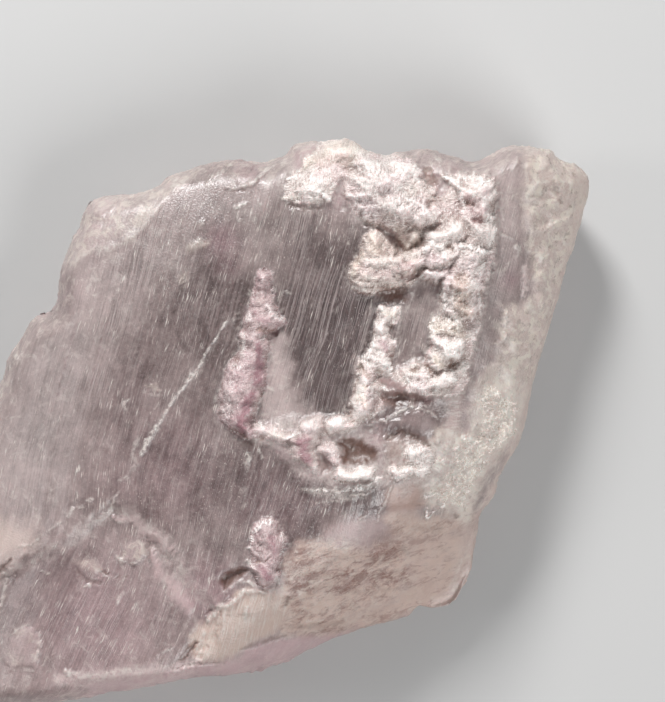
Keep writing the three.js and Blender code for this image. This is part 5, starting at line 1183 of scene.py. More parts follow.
class Front:
    """The front's relief and paints on an even grid, with a row for each y and a column for each x."""

    def __init__(self, border):
        self.x, self.y = np.meshgrid(np.arange(*MAP_X, MAP_STEP), np.arange(*MAP_Y, MAP_STEP))
        self.rim = inside_distance(self.x, self.y, border)
        self.bare = bare_front(self.x, self.y, np.maximum(self.rim, 0))
        seen = CAMERA_RISE / (CAMERA_RISE + FACE_PLANE - self.bare)
        self.u, self.v = self.x * seen, self.y * seen
        self.wavy_u = self.u + FINE_WARP * self.rough(FINE_WARP_SIZE, 12, octaves=2)
        self.wavy_v = self.v + FINE_WARP * self.rough(FINE_WARP_SIZE, 22, octaves=2)
        self.ragged_u = self.wavy_u + WIDE_WARP * self.rough(WIDE_WARP_SIZE, 11)
        self.ragged_v = self.wavy_v + WIDE_WARP * self.rough(WIDE_WARP_SIZE, 21)
        self.lumps = self.rough(LUMP_SIZE, 31)
        self.across, self.along = striation_places(self.u, self.v)
        self.jagged = self.rough(JAG_SIZE, 51, octaves=2)
        self.flecks = self.rough(FLECK_SIZE, 55, fade=FLECK_FADE)
        self.relief = np.zeros(self.x.shape)
        self.heap = np.zeros(self.x.shape)
        self.fine = np.zeros(self.x.shape)
        self.paint = {name: np.zeros(self.x.shape) for name in PAINTS}

    def rough(self, size, seed, **settings):
        return rough(self.u / size, self.v / size, seed, **settings)

    def near(self, points, reach):
        """The part of the map with some places of the camera's view and what lies within reach of them."""
        reach += VIEW_SHIFT
        part = []
        for k, start in ((1, MAP_Y[0]), (0, MAP_X[0])):
            places = [point[k] for point in points]
            first = int((min(places) - reach - start) / MAP_STEP)
            part.append(slice(max(first, 0), int((max(places) + reach - start) / MAP_STEP)))
        return tuple(part)

    def inside(self, part, outline):
        """How far inside an outline each place of a part lies, with the outline's edge made ragged."""
        return inside_distance(self.ragged_u[part], self.ragged_v[part], outline)

    def cover(self, part, cover, amounts):
        """Paints over a part of the map: each paint comes to its amount where the cover is 1."""
        for name in PAINTS:
            if name in amounts:
                self.paint[name][part] = mix(self.paint[name][part], amounts[name], cover)

    def add(self, part, cover, amounts):
        """Adds paint to a part of the map where there is less of it; "bare" takes crust away."""
        for name in PAINTS:
            if name in amounts:
                self.paint[name][part] = np.maximum(self.paint[name][part], amounts[name] * cover)
        self.paint["crust"][part] *= 1 - amounts.get("bare", 0) * cover

    def at(self, values, x, y):
        """Values of the map at any places, from the four grid places round each."""
        column, row = (x - MAP_X[0]) / MAP_STEP, (y - MAP_Y[0]) / MAP_STEP
        i, j = np.floor(column).astype(int), np.floor(row).astype(int)
        share_x, share_y = column - i, row - j
        low = mix(values[j, i], values[j, i + 1], share_x)
        high = mix(values[j + 1, i], values[j + 1, i + 1], share_x)
        return mix(low, high, share_y)


def blurred(values, reach):
    """Each place's mean over the square within reach of it: over its column, then over its row."""
    half = int(reach / MAP_STEP)
    width = 2 * half + 1
    for _ in range(2):
        sums = np.cumsum(np.pad(values, [(half + 1, half), (0, 0)], mode="edge"), axis=0)
        values = ((sums[width:] - sums[:-width]) / width).T
    return values


def spread_spots(front):
    """How milky, lined, lacy, mauve and sparkling each place of the clear faces is."""
    total, weights = np.zeros(front.x.shape), np.zeros(front.x.shape)
    for spot_u, spot_v, reach, amount in HAZE:
        far = np.hypot(front.u - spot_u, front.v - spot_v) / reach
        weight = np.exp(-far * far) + HAZE_TAIL / (1 + far**3)
        weights += weight
        total += weight * amount
    haze = total / weights
    clouds = layered(rough, front.across, front.along, LONG_CLOUDS)
    clouds = layered(rough, front.u, front.v, ROUND_CLOUDS, clouds)
    milk = haze + clouds * mix(CLEAR_CLOUDS, 1, ramp(haze, 0, CLOUDY_HAZE))
    rim_milk = RIM_MILK - RIM_MILK_FALL * front.rim + RIM_MILK_LUMPS * front.lumps
    front.paint["milk"] = np.maximum(milk, rim_milk)
    front.paint["lined"] += LINED_EVERYWHERE
    front.paint["lace"] = RIM_LACE * (1 - ramp(front.rim + RIM_LACE_LUMPS * front.lumps, *RIM_LACE_FADE))
    for name, spots in (("mauve", MAUVE), ("sparkle", SPARKLES), ("lined", LINED)):
        for spot_u, spot_v, reach, amount in spots:
            part = front.near([(spot_u, spot_v)], SPOT_END * reach)
            far = np.hypot(front.u[part] - spot_u, front.v[part] - spot_v) / reach
            front.paint[name][part] = np.maximum(front.paint[name][part], amount * np.exp(-far * far))


def lay_zones(front, zones):
    for zone in zones.values():
        outline, soft = zone["outline"], zone["soft"]
        part = front.near(outline, 2 * soft + 1)
        fray = ZONE_FRAY * soft * front.lumps[part]
        frayed = front.inside(part, outline) + fray + EDGE_JAGS * front.jagged[part]
        cover = ramp(frayed, -soft, soft)
        front.cover(part, cover, zone)
        front.relief[part] += zone.get("rise", 0) * cover
        if "slope" in zone:
            (middle_u, middle_v), (slope_u, slope_v) = np.mean(outline, axis=0), zone["slope"]
            tilt = (front.u[part] - middle_u) * slope_u + (front.v[part] - middle_v) * slope_v
            front.relief[part] += tilt * cover


def build_heaps(front):
    for heap in HEAPS.values():
        edge = heap["edge"]
        part = front.near(heap["outline"], heap.get("width", 0) + 1)
        inside = front.inside(part, heap["outline"])
        flank = ease((inside + HEAP_TOE) / (HEAP_FLANK * edge + 2 * HEAP_TOE))
        rise = mix(flank, dome(inside / edge), HEAP_DOME)
        cover = ramp(inside + EDGE_JAGS * front.jagged[part], -HEAP_TOE, HEAP_PAINT_EDGE)
        if "fade" in heap:
            slope_y, slope_x = np.gradient(blurred(inside, FADE_BLUR), MAP_STEP)
            facing = ramp(-(slope_x * heap["fade"][0] + slope_y * heap["fade"][1]), *FADE_FACING)
            width = heap["width"]
            rise = mix(rise, ease((inside + width / 2) / (edge + width)), facing)
            cover = mix(cover, ramp(inside, -width / 2, width / 2), facing)
        rise = heap["rise"] * rise * (1 + HEAP_SWING * front.lumps[part])
        front.heap[part] = smooth_max(front.heap[part], rise, HEAP_BLEND)
        front.cover(part, cover, {**dict.fromkeys((*TINTS, "smooth", "lace", "mauve"), 0), **heap})


def cut_hollows(front):
    for hollow in HOLLOWS.values():
        part = front.near(hollow["outline"], 1)
        inside = front.inside(part, hollow["outline"])
        front.relief[part] -= hollow["depth"] * ramp(inside, -HOLLOW_WALL, hollow["edge"])
        front.heap[part] *= 1 - ramp(inside, *HOLLOW_HEAP_EDGE)
        front.cover(part, ramp(inside, *HOLLOW_WHITE_EDGE), {"white": 0})
        # The brown in a hollow is painted shade.
        paints = {"brown": hollow["brown"], "bare": HOLLOW_BARE}
        front.add(part, ramp(inside, *HOLLOW_BROWN_EDGE), paints)


def add_touches(front):
    for touch in TOUCHES:
        widest = max(point[2] for point in touch["at"])
        thin = 1 - ramp(widest, *THIN_TO_WIDE)
        part = front.near(touch["at"], TOUCH_REACH * widest + TOUCH_FRAY_REACH)
        nearness = line_nearness(front.wavy_u[part], front.wavy_v[part], touch["at"])
        frayed = nearness + mix(WIDE_FRAY, THIN_FRAY, thin) * front.flecks[part]
        cover = ramp(frayed, THIN_START * thin, mix(WIDE_FULL, THIN_FULL, thin))
        cover = cover * (nearness > TOUCH_END)
        front.relief[part] += mix(1, THIN_RISE, thin) * touch.get("rise", 0) * cover
        front.add(part, cover, touch)
        if "milk" in touch:
            front.cover(part, cover, {"milk": touch["milk"]})
        if widest < FINE_WIDTH and "rise" in touch:
            front.fine[part] = np.maximum(front.fine[part], cover)


def cut_terrace(front):
    inside = inside_distance(front.ragged_u, front.ragged_v, TERRACE)
    front.relief -= TERRACE_DROP * ramp(inside + LIP_JAGS * front.jagged, -TERRACE_LIP, TERRACE_LIP)
    frost = ramp(LIP_WIDTH - np.abs(inside + LIP_LUMPS * front.lumps) + front.flecks, *LIP_EDGE)
    front.paint["white"] = np.maximum(front.paint["white"], LIP_WHITE * frost)
    front.paint["milk"] += LIP_MILK * frost


def roughen(front):
    """Ribs along the striations, gentle waves, ridges in crust and lace, and the steps of banded places."""
    paint = front.paint
    ribs = layered(noise, front.across, front.along, FACE_RIBS)
    waves = layered(rough, front.across, front.along, FACE_WAVES)
    front.relief += (1 - SMOOTH_RIBS * paint["smooth"]) * (1 - paint["crust"]) * ribs + waves
    coarse = layered(ridges, front.ragged_u, front.ragged_v, CRUST_RIDGES)
    fine = layered(ridges, front.ragged_u, front.ragged_v, FINE_CRUST_RIDGES)
    ridged = np.maximum(paint["crust"] ** CRUST_POWER, LACE_SHARE * paint["lace"])
    front.relief += ridged * (coarse + fine * (1 - SMOOTH_RIDGES * paint["smooth"]))
    band_up = BAND_WAY[0] * front.u + BAND_WAY[1] * front.v
    front.relief += paint["bands"] * layered(rough, front.u, band_up, BAND_STEPS)
    front.relief += paint["ribs"] * layered(noise, front.u, front.v, FINE_RIBS)


def dust_round_crust(front):
    """White flecks on the faces close to the crust."""
    near = ramp(blurred(front.paint["crust"], DUST_REACH), *DUST_START)
    near *= 1 - ramp(front.paint["crust"], *DUST_END)
    dust = DUST_WHITE * near * ramp(front.flecks, *DUST_FLECKS)
    front.paint["white"] = np.maximum(front.paint["white"], dust)


def shade_crevices(front):
    """Painted shade: brown in deep places and just below high crust; and how far each place stands out."""
    height = front.heap + front.relief
    rows_down = int(OVERHANG_RISE / MAP_STEP)
    higher = np.roll(blurred(height, OVERHANG_BLUR), -rows_down, axis=0) - height
    deep = blurred(height, DEEP_BLUR) - height
    shade = np.maximum(ramp(higher, *OVERHANG_HEIGHT), ramp(deep, *DEEP_HEIGHT))
    shade = shade * ramp(front.rim, *CREVICE_RIM)
    near_crust = ramp(blurred(front.paint["crust"], CREVICE_CRUST_BLUR), *CREVICE_CRUST)
    front.paint["brown"] = np.maximum(front.paint["brown"], CREVICE_PAINTED_SHADE * shade * near_crust)
    # How far each place stands out: the crust is painted lighter there and darker where it sinks.
    raised = 0.5
    for strength, blur in RAISED_LAYERS:
        raised = raised + strength * (height - blurred(height, blur))
    front.paint["raised"] = np.clip(raised, 0, 1)


def make_front(border):
    front = Front(border)
    spread_spots(front)
    lay_zones(front, ZONES)
    lay_zones(front, FROST)
    build_heaps(front)
    dust_round_crust(front)
    cut_hollows(front)
    add_touches(front)
    cut_terrace(front)
    roughen(front)
    shade_crevices(front)
    return front


def sugar_grains(u, v, amount):
    """The grains' relief, and how bright each place is between a gap's 0 and a grain's 1, brighter up a grain
    as painted light.
    """
    patches = ramp(rough(u / PATCH_SIZE, v / PATCH_SIZE, 61), *PATCH_EDGE)
    fine = 0
    for size, height, tilt, seed in GRAINS:
        middle, facet = grains(u / size, v / size, seed)
        fine = fine + height * (GRAIN_FOOT - middle) + tilt * facet
    amount = amount * mix(PATCH_LEAST, 1, patches)
    return GRAIN_GAIN * amount * fine, np.clip(0.5 + amount * fine / GRAIN_BRIGHT, 0, 1)


# ================= Meshes =================
BORDER_STEP = 3  # the map's border has one corner for this many of the rim's
DETAIL_BLUR, DETAIL_GAIN, DETAIL_LIMIT = 0.5, 9, 0.5


def front_places():
    """The x and y of the finest grid's corners, rows from the bottom side to the top side."""
    s = np.linspace(0, 1, BLOCKS_ACROSS * FINEST + 1)
    t = np.linspace(0, 1, BLOCKS_ALONG * FINEST + 1)
    bottom, top = side_curve(BOTTOM_SIDE, s)[None], side_curve(TOP_SIDE, s)[None]
    left, right = side_curve(LEFT_SIDE, t)[:, None], side_curve(RIGHT_SIDE, t)[:, None]
    s, t = s[None, :, None], t[:, None, None]
    low_corners = (1 - s) * bottom[:, :1] + s * bottom[:, -1:]
    high_corners = (1 - s) * top[:, :1] + s * top[:, -1:]
    places = (1 - t) * (bottom - low_corners) + t * (top - high_corners) + (1 - s) * left + s * right
    for _ in range(EVENING_ROUNDS):
        beside = places[1:-1, :-2] + places[1:-1, 2:] + places[:-2, 1:-1] + places[2:, 1:-1]
        places[1:-1, 1:-1] = beside / 4
    return places


def outline_loop(index):
    """A grid's border from its indices, once round from its first corner."""
    return np.r_[index[0, :-1], index[:-1, -1], index[-1, :0:-1], index[:0:-1, 0]]


def block_cells(front, places):
    """How many of the finest cells lie along the side of each block's cells: 1, 2 or 4."""
    x, y = places[..., 0], places[..., 1]
    crust = np.maximum(front.paint["crust"], front.fine)
    fine = front.at(crust, x, y)
    near_crust = DETAIL_GAIN * blurred(crust, DETAIL_BLUR)
    detail = np.maximum(near_crust, np.maximum(front.paint["lace"], front.paint["bands"]))
    medium = front.at(np.maximum(detail, front.paint["ribs"]), x, y)
    cells = np.full((BLOCKS_ALONG, BLOCKS_ACROSS), FINEST)
    for needed, size in ((medium, 2), (fine, 1)):
        block_needs = np.zeros(cells.shape)
        for row in range(FINEST + 1):
            rows = slice(row, row + BLOCKS_ALONG * FINEST, FINEST)
            for column in range(FINEST + 1):
                columns = slice(column, column + BLOCKS_ACROSS * FINEST, FINEST)
                block_needs = np.maximum(block_needs, needed[rows, columns])
        cells[block_needs > DETAIL_LIMIT] = size
    cells[[0, -1]] = RIM_CELL
    cells[:, [0, -1]] = RIM_CELL
    padded = np.pad(cells, 1, mode="edge")
    beside = [padded[:-2, 1:-1], padded[2:, 1:-1], padded[1:-1, :-2], padded[1:-1, 2:]]
    return np.minimum(cells, 2 * np.minimum.reduce(beside))


def front_triangles(cells, index):
    """Triangles of the front, whose cells meet without gaps where their sizes change."""
    size = np.pad(np.kron(cells, np.ones((FINEST, FINEST), int)), 1, mode="edge")
    triangles = []
    for k in (1, 2, 4):
        rows, columns = np.nonzero(cells == k)
        steps = np.arange(0, FINEST, k)
        j = (rows[:, None, None] * FINEST + steps[None, :, None] + 0 * steps).ravel()
        i = (columns[:, None, None] * FINEST + 0 * steps[None, :, None] + steps).ravel()
        corners = [(j, i), (j, i + k), (j + k, i + k), (j + k, i)]
        beside = [size[j, i + 1], size[j + 1, i + k + 1], size[j + k + 1, i + 1], size[j + 1, i]]
        plain = np.all([neighbour >= k for neighbour in beside], axis=0)
        a, b, c, d = (index[place][plain] for place in corners)
        triangles += [np.c_[a, b, c], np.c_[a, c, d]]
        if k == 1:
            continue
        middle = index[j + k // 2, i + k // 2]
        for side in range(4):
            first, second = corners[side], corners[(side + 1) % 4]
            start, end = index[first], index[second]
            halfway = index[(first[0] + second[0]) // 2, (first[1] + second[1]) // 2]
            whole, split = ~plain & (beside[side] >= k), ~plain & (beside[side] < k)
            triangles.append(np.c_[middle[whole], start[whole], end[whole]])
            triangles.append(np.c_[middle[split], start[split], halfway[split]])
            triangles.append(np.c_[middle[split], halfway[split], end[split]])
    return np.vstack(triangles)


def band_triangles(upper, lower):
    """Joins two loops of as many corners, with faces pointing out."""
    next_upper, next_lower = np.roll(upper, -1), np.roll(lower, -1)
    return np.vstack([np.c_[upper, lower, next_lower], np.c_[upper, next_lower, next_upper]])


def fan_triangles(fine, coarse, step):
    """Joins a fine loop to a coarse one below it, which has one corner for every `step` fine ones."""
    triangles = []
    next_coarse = np.roll(coarse, -1)
    for k in range(step):
        here, there = fine[k::step], np.roll(fine, -1)[k::step]
        corner = coarse if k < step // 2 else next_coarse
        triangles.append(np.c_[here, corner, there])
    triangles.append(np.c_[fine[step // 2 :: step], coarse, next_coarse])
    return np.vstack(triangles)


def under_triangles(loop, first, back_shape):
    """Triangles of the wall's rings below a loop, and of the back; their corners count on from the first."""
    triangles = []
    upper = loop
    for _ in range(WALL_RINGS):
        lower = first + np.arange(len(loop))
        triangles.append(band_triangles(upper, lower))
        upper, first = lower, first + len(loop)
    index = first + np.arange(back_shape[0] * back_shape[1]).reshape(back_shape)
    triangles.append(fan_triangles(upper, outline_loop(index), BACK_STEP))
    grid = (index[:-1, :-1], index[:-1, 1:], index[1:, 1:], index[1:, :-1])
    a, b, c, d = (corners.ravel() for corners in grid)
    return [*triangles, np.c_[a, c, b], np.c_[a, d, c]]


def outward(front, x, y):
    """The way out to the silhouette at each place: in X, in Y, across the striations and along them."""
    slope_y, slope_x = np.gradient(blurred(front.rim, OUTWARD_BLUR), MAP_STEP)
    length = np.hypot(slope_x, slope_y) + LEAST_SLOPE
    out_x, out_y = front.at(-slope_x / length, x, y), front.at(-slope_y / length, x, y)
    across = out_x * math.cos(LEAN) - out_y * math.sin(LEAN)
    along = out_x * math.sin(LEAN) + out_y * math.cos(LEAN)
    return np.stack([out_x, out_y, across, along])


def front_surface(front, x, y, rim, out):
    """The front's corners, and what the materials read at each."""
    bare = bare_front(x, y, rim)
    drop = bevelled_height(x, y) - bare
    values = {name: front.at(front.paint[name], x, y) for name in PAINTS}
    values["across"] = front.at(front.across, x, y) + out[2] * drop
    values["along"] = front.at(front.along, x, y) + out[3] * drop
    values["lined"] = np.maximum(values["lined"], RIM_LINED * ramp(drop, *RIM_LINED_DROP))
    crumbs = rough(x / CRUMB_SIZE, y / CRUMB_SIZE, 65, octaves=2) * (values["crust"] > LEAST_CRUST)
    values["crusted"] = np.clip(values["crust"] + CRUMB_SWING * crumbs, 0, 1)
    sugary = values["crusted"] * (1 - SMOOTH_GRAINS * values["smooth"])
    grain_height, values["bright"] = sugar_grains(x, y, sugary)
    heap = front.at(front.heap, x, y)
    rise = (heap + front.at(front.relief, x, y) + grain_height) * ramp(rim, *RISE_FADE)
    return (x, y - CRUST_LEAN * heap * ramp(rim, *LEAN_FADE), bare + rise), values


def wall_ring(x, y, share):
    """The rim's loop at a share of the way down the wall, which bulges a little."""
    bulge = 1 + WALL_BULGE * math.sin(math.pi * share)
    ring_x, ring_y = x.mean() + (x - x.mean()) * bulge, y.mean() + (y - y.mean()) * bulge
    return ring_x, ring_y, rim_height(x, y) + RIM_HALF_WALL * (1 - 2 * share)


def back_values(x, y, rim, out):
    """What the materials read on the back, where it isn't 0: milky, silky and here and there lacy."""
    unrolled = UNROLLED * (1 - ramp(rim, 0, UNROLLED_WIDTH))
    across, along = striation_places(x, y)
    milk = mix(BACK_MILK_RIM, BACK_MILK_MIDDLE, ramp(rim, 0, BACK_MILK_WIDTH))
    spots = rough(x / BACK_LACE_SIZE[0], y / BACK_LACE_SIZE[1], 131)
    return {
        "milk": layered(rough, x, y, BACK_CLOUDS, milk),
        "lined": np.full(x.shape, BACK_LINED),
        "lace": BACK_LACE * ramp(spots, *BACK_LACE_EDGE),
        "across": across + out[2] * unrolled,
        "along": along + out[3] * unrolled,
    }


def roughened_wall(x, y, z, near_rim, values, out):
    """The corners with ribs and a ragged swing where they lie near the rim."""
    ribs = near_rim * layered(noise, values["across"], values["along"], WALL_RIBS)
    x, y = x + ribs * out[0], y + ribs * out[1]
    ragged, size = RAGGED_WALL * near_rim, RAGGED_WALL_SIZE
    ragged_x = x + ragged * rough(x / size, (y + z) / size, 101)
    ragged_y = y + ragged * rough((x + z) / size, y / size, 111)
    return np.c_[ragged_x, ragged_y, z]


def crystal_mesh():
    """The whole crystal as one closed mesh: its front, rings down the wall and a coarser back."""
    places = front_places()
    lattice = np.arange(places.shape[0] * places.shape[1]).reshape(places.shape[:2])
    rim_loop = outline_loop(lattice[::RIM_CELL, ::RIM_CELL])
    all_x, all_y = places[..., 0].ravel(), places[..., 1].ravel()
    border = [(all_x[k], all_y[k]) for k in rim_loop[::BORDER_STEP]]
    front = make_front(border)
    triangles = front_triangles(block_cells(front, places), lattice)

    used = np.unique(triangles)
    compact = np.zeros(lattice.size, int)
    compact[used] = np.arange(len(used))
    loop = compact[rim_loop]
    x, y = all_x[used], all_y[used]
    rim = line_distance(x, y, border)
    out = outward(front, x, y)
    corners, values = front_surface(front, x, y, rim, out)

    shares = np.arange(1, WALL_RINGS + 1) / (WALL_RINGS + 1)
    rings = [wall_ring(x[loop], y[loop], share) for share in shares]
    below = np.r_[np.zeros(len(x)), np.repeat(2 * RIM_HALF_WALL * shares, len(loop))]
    on_front = np.r_[np.arange(len(x)), np.tile(loop, WALL_RINGS)]

    coarse = lattice[:: RIM_CELL * BACK_STEP, :: RIM_CELL * BACK_STEP]
    back_x, back_y = all_x[coarse.ravel()], all_y[coarse.ravel()]
    back_rim = line_distance(back_x, back_y, border)
    back_out = outward(front, back_x, back_y)
    behind = back_values(back_x, back_y, back_rim, back_out)
    values = {name: numbers[on_front] for name, numbers in values.items()}
    values["across"] += out[2, on_front] * below
    values["along"] += out[3, on_front] * below
    for name in values:
        values[name] = np.r_[values[name], behind.get(name, np.zeros(coarse.size))]

    levels = [corners, *rings, (back_x, back_y, back(back_x, back_y, back_rim))]
    x, y, z = (np.concatenate(parts) for parts in zip(*levels))
    near_rim = 1 - ramp(np.r_[rim[on_front], back_rim], 0, WALL_RIB_FADE)
    whole_out = np.concatenate([out[:, on_front], back_out], axis=1)
    corners = roughened_wall(x, y, z, near_rim, values, whole_out)
    under = under_triangles(loop, len(used), coarse.shape)
    return corners, np.vstack([compact[triangles], *under]), values


def outline_middle():
    """The middle of the silhouette's box, which is where the CAD model has its origin."""
    shares = np.linspace(0, 1, OUTLINE_PLACES)
    sides = (LEFT_SIDE, TOP_SIDE, RIGHT_SIDE, BOTTOM_SIDE)
    corners = np.vstack([side_curve(side, shares) for side in sides])
    return (corners.min(0) + corners.max(0)) / 2


def make_piece(name, places, triangles, values, materials, material_index):
    """The crystal's mesh object, in metres, with one number at each corner for each of the values."""
    mesh = bpy.data.meshes.new(name)
    mesh.from_pydata((places * MM).tolist(), [], triangles.tolist())
    for key, numbers in values.items():
        mesh.attributes.new(key, "FLOAT", "POINT").data.foreach_set("value", numbers.astype(np.float32))
    mesh.polygons.foreach_set("use_smooth", np.ones(len(mesh.polygons), bool))
    for material in materials:
        mesh.materials.append(material)
    mesh.polygons.foreach_set("material_index", material_index.astype(np.int32))
    piece = bpy.data.objects.new(name, mesh)
    bpy.context.scene.collection.objects.link(piece)
    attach(piece, "root")
    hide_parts("crystal")
    print(name, "triangles", len(triangles))


# ================= Materials =================
# Sizes are in millimetres, and scales are lumps per millimetre. Noise lies between 0 and 1, mostly near 0.5.
# Sockets of a mix node: its share, numbers and colours, and the mixed colour among its outputs.
MIX_SHARE, NUMBER_A, NUMBER_B, COLOUR_A, COLOUR_B, MIXED_COLOUR = 0, 2, 3, 6, 7, 2


class Tree:
    """Adds nodes to one material, and links each input that is another node's output."""

    def __init__(self, name):
        self.material = bpy.data.materials.new(name)
        self.material.use_nodes = True
        self.nodes, self.links = self.material.node_tree.nodes, self.material.node_tree.links

    def set(self, socket, value):
        if isinstance(value, bpy.types.NodeSocket):
            self.links.new(value, socket)
        else:
            socket.default_value = value

    def surface(self, inputs):
        for name, value in inputs.items():
            self.set(self.nodes["Principled BSDF"].inputs[name], value)

    def volume(self, value):
        self.set(self.nodes["Material Output"].inputs["Volume"], value)

    def add(self, kind, inputs, output=0, **settings):
        node = self.nodes.new(kind)
        for key, value in settings.items():
            setattr(node, key, value)
        for key, value in inputs.items():
            self.set(node.inputs[key], value)
        return node.outputs[output]

    def number(self, name):
        return self.add("ShaderNodeAttribute", {}, output="Fac", attribute_name=name)

    def maths(self, operation, *values, clamp=False):
        return self.add("ShaderNodeMath", dict(enumerate(values)), operation=operation, use_clamp=clamp)

    def times(self, *values):
        product = values[0]
        for value in values[1:]:
            product = self.maths("MULTIPLY", product, value)
        return product

    def plus(self, *values):
        total = values[0]
        for value in values[1:]:
            total = self.maths("ADD", total, value)
        return total

    def rest(self, value):
        return self.maths("SUBTRACT", 1.0, value, clamp=True)

    def colour(self, share, a, b, blend="MIX"):
        inputs = {MIX_SHARE: share, COLOUR_A: a, COLOUR_B: b}
        kinds = {"data_type": "RGBA", "blend_type": blend}
        return self.add("ShaderNodeMix", inputs, output=MIXED_COLOUR, **kinds)

    def lay(self, face, colour, *shares, strength=None, blend="MIX"):
        """The face with a colour laid over it, as strong as the product of the shares and the strength."""
        if strength is not None:
            shares = (*shares, strength)
        return self.colour(self.times(*shares), face, colour, blend)

    def between(self, value, low, high, to_low=0.0, to_high=1.0):
        inputs = {"Value": value, "From Min": low, "From Max": high, "To Min": to_low, "To Max": to_high}
        return self.add("ShaderNodeMapRange", inputs, interpolation_type="SMOOTHSTEP")

    def noise(self, vector, detail, scale=1.0, distortion=0.0, crisp=0.5):
        inputs = {"Vector": vector, "Scale": scale, "Detail": detail}
        return self.add("ShaderNodeTexNoise", {**inputs, "Distortion": distortion, "Roughness": crisp})

    def streaks(self, across, along, sizes, layer, detail, **settings):
        """Noise with lumps of the given sizes across and along; each layer differs."""
        x = self.maths("MULTIPLY", across, 1 / sizes[0])
        y = self.maths("MULTIPLY", along, 1 / sizes[1])
        vector = self.add("ShaderNodeCombineXYZ", {0: x, 1: y, 2: layer})
        return self.noise(vector, detail, **settings)

    def millimetres(self):
        """Each place in millimetres, and its x and y."""
        place = self.add("ShaderNodeTexCoord", {}, output="Object")
        place = self.add("ShaderNodeVectorMath", {0: place, 1: (1 / MM,) * 3}, operation="MULTIPLY")
        return place, *(self.add("ShaderNodeSeparateXYZ", {0: place}, output=k) for k in (0, 1))

    def bump(self, height):
        """The normals of a relief in millimetres."""
        inputs = {"Height": height, "Strength": 1.0, "Distance": MM}
        return self.add("ShaderNodeBump", inputs, output="Normal")


def silky_lines(tree, across, along):
    """Fine parallel lines: dark below 0.5 and bright above it."""
    long_lines = tree.streaks(across, along, sizes=(0.14, 14.0), layer=0.0, detail=1.0)
    lines = tree.streaks(across, along, sizes=(0.1, 3.2), layer=4.0, detail=1.0)
    bands = tree.streaks(across, along, sizes=(0.7, 9.0), layer=12.0, detail=2.0)
    return tree.plus(tree.times(long_lines, 0.5), tree.times(lines, 0.32), tree.times(bands, 0.18))


def clear_face(tree, paint, place, across, along):
    """The face's colour where it is clear or milky, with its silky lines, strokes and specks."""
    clear = tree.rest(paint["smooth"])
    clouds = tree.noise(place, scale=0.27, detail=6.0, distortion=0.6, crisp=0.55)
    veils = tree.streaks(across, along, sizes=(0.8, 2.4), layer=20.0, detail=4.0, distortion=0.5)
    mottle = tree.noise(place, scale=2.6, detail=3.0, distortion=0.5)
    cloudiness = tree.plus(tree.times(clouds, 0.75), tree.times(veils, 0.5), tree.times(mottle, 0.4), -0.82)
    # Clear places take the painted darkness of DARK_WINDOW, milky ones their own pale colour.
    face = tree.colour(tree.maths("ADD", paint["milk"], cloudiness, clamp=True), DARK_WINDOW, MILKY)
    face = tree.lay(face, MAUVE_TINT, paint["mauve"], strength=0.9, blend="MULTIPLY")

    lines = silky_lines(tree, across, along)
    lined = tree.times(paint["lined"], tree.plus(tree.times(clear, 0.75), 0.25))
    bright_lines = tree.times(tree.between(lines, 0.5, 0.6), lined)
    dark_lines = tree.times(tree.between(lines, 0.5, 0.41), lined)
    strokes = tree.streaks(across, along, sizes=(0.12, 1.4), layer=8.0, detail=1.0)
    patches = tree.noise(place, scale=0.3, detail=4.0, distortion=1.0)
    patches = tree.between(patches, 0.44, 0.62, to_low=0.1)
    strokes = tree.times(tree.between(strokes, 0.58, 0.66), tree.between(veils, 0.42, 0.6), patches, clear)
    smudges = tree.noise(place, scale=0.8, detail=8.0, distortion=0.6, crisp=0.68)
    milky = tree.between(paint["milk"], 0.2, 0.9, to_low=0.15)
    smudges = tree.times(tree.between(smudges, 0.52, 0.66), milky, tree.plus(clear, 0.3))
    # Specks: painted glints, white dots where the faces sparkle.
    specks = tree.streaks(across, along, sizes=(0.14, 0.24), layer=16.0, detail=1.0)
    sparkling = tree.plus(paint["sparkle"], 0.25)
    specks = tree.times(tree.between(specks, 0.63, 0.72), sparkling, tree.between(mottle, 0.4, 0.6))
    # Dark lines: painted shade in the grooves; bright lines: partly the striations' own whitish tone, partly
    # painted glints.
    face = tree.lay(face, GROOVE_TINT, dark_lines, strength=0.7, blend="MULTIPLY")
    face = tree.lay(face, SILK, bright_lines, strength=0.45)
    face = tree.lay(face, FACE_WHITE, smudges, strength=0.4)
    face = tree.lay(face, FACE_WHITE, strokes, strength=0.85)
    face = tree.lay(face, FACE_WHITE, specks, strength=0.85)
    grooves = tree.times(dark_lines, -1.0)
    relief = tree.plus(bright_lines, tree.times(strokes, 1.5), grooves, tree.times(specks, 2.0))
    return face, relief


def with_lace(tree, face, paint, place):
    """Adds white veils and threads, with dark pits between them, where the face is etched like lace."""
    veil = tree.noise(place, scale=0.8, detail=8.0, distortion=0.6, crisp=0.66)
    face = tree.lay(face, LACE_LIGHT, tree.between(veil, 0.48, 0.56), paint["lace"], strength=0.95)
    pits = tree.noise(place, scale=1.2, detail=7.0, distortion=0.5, crisp=0.64)
    face = tree.lay(face, LACE_DARK, tree.between(pits, 0.46, 0.36), paint["lace"], strength=0.75)
    threads = tree.noise(place, scale=1.3, detail=4.0, distortion=1.5)
    threads = tree.maths("ABSOLUTE", tree.maths("SUBTRACT", threads, 0.5))
    return tree.lay(face, FACE_WHITE, tree.between(threads, 0.028, 0.0), paint["lace"], strength=0.6)


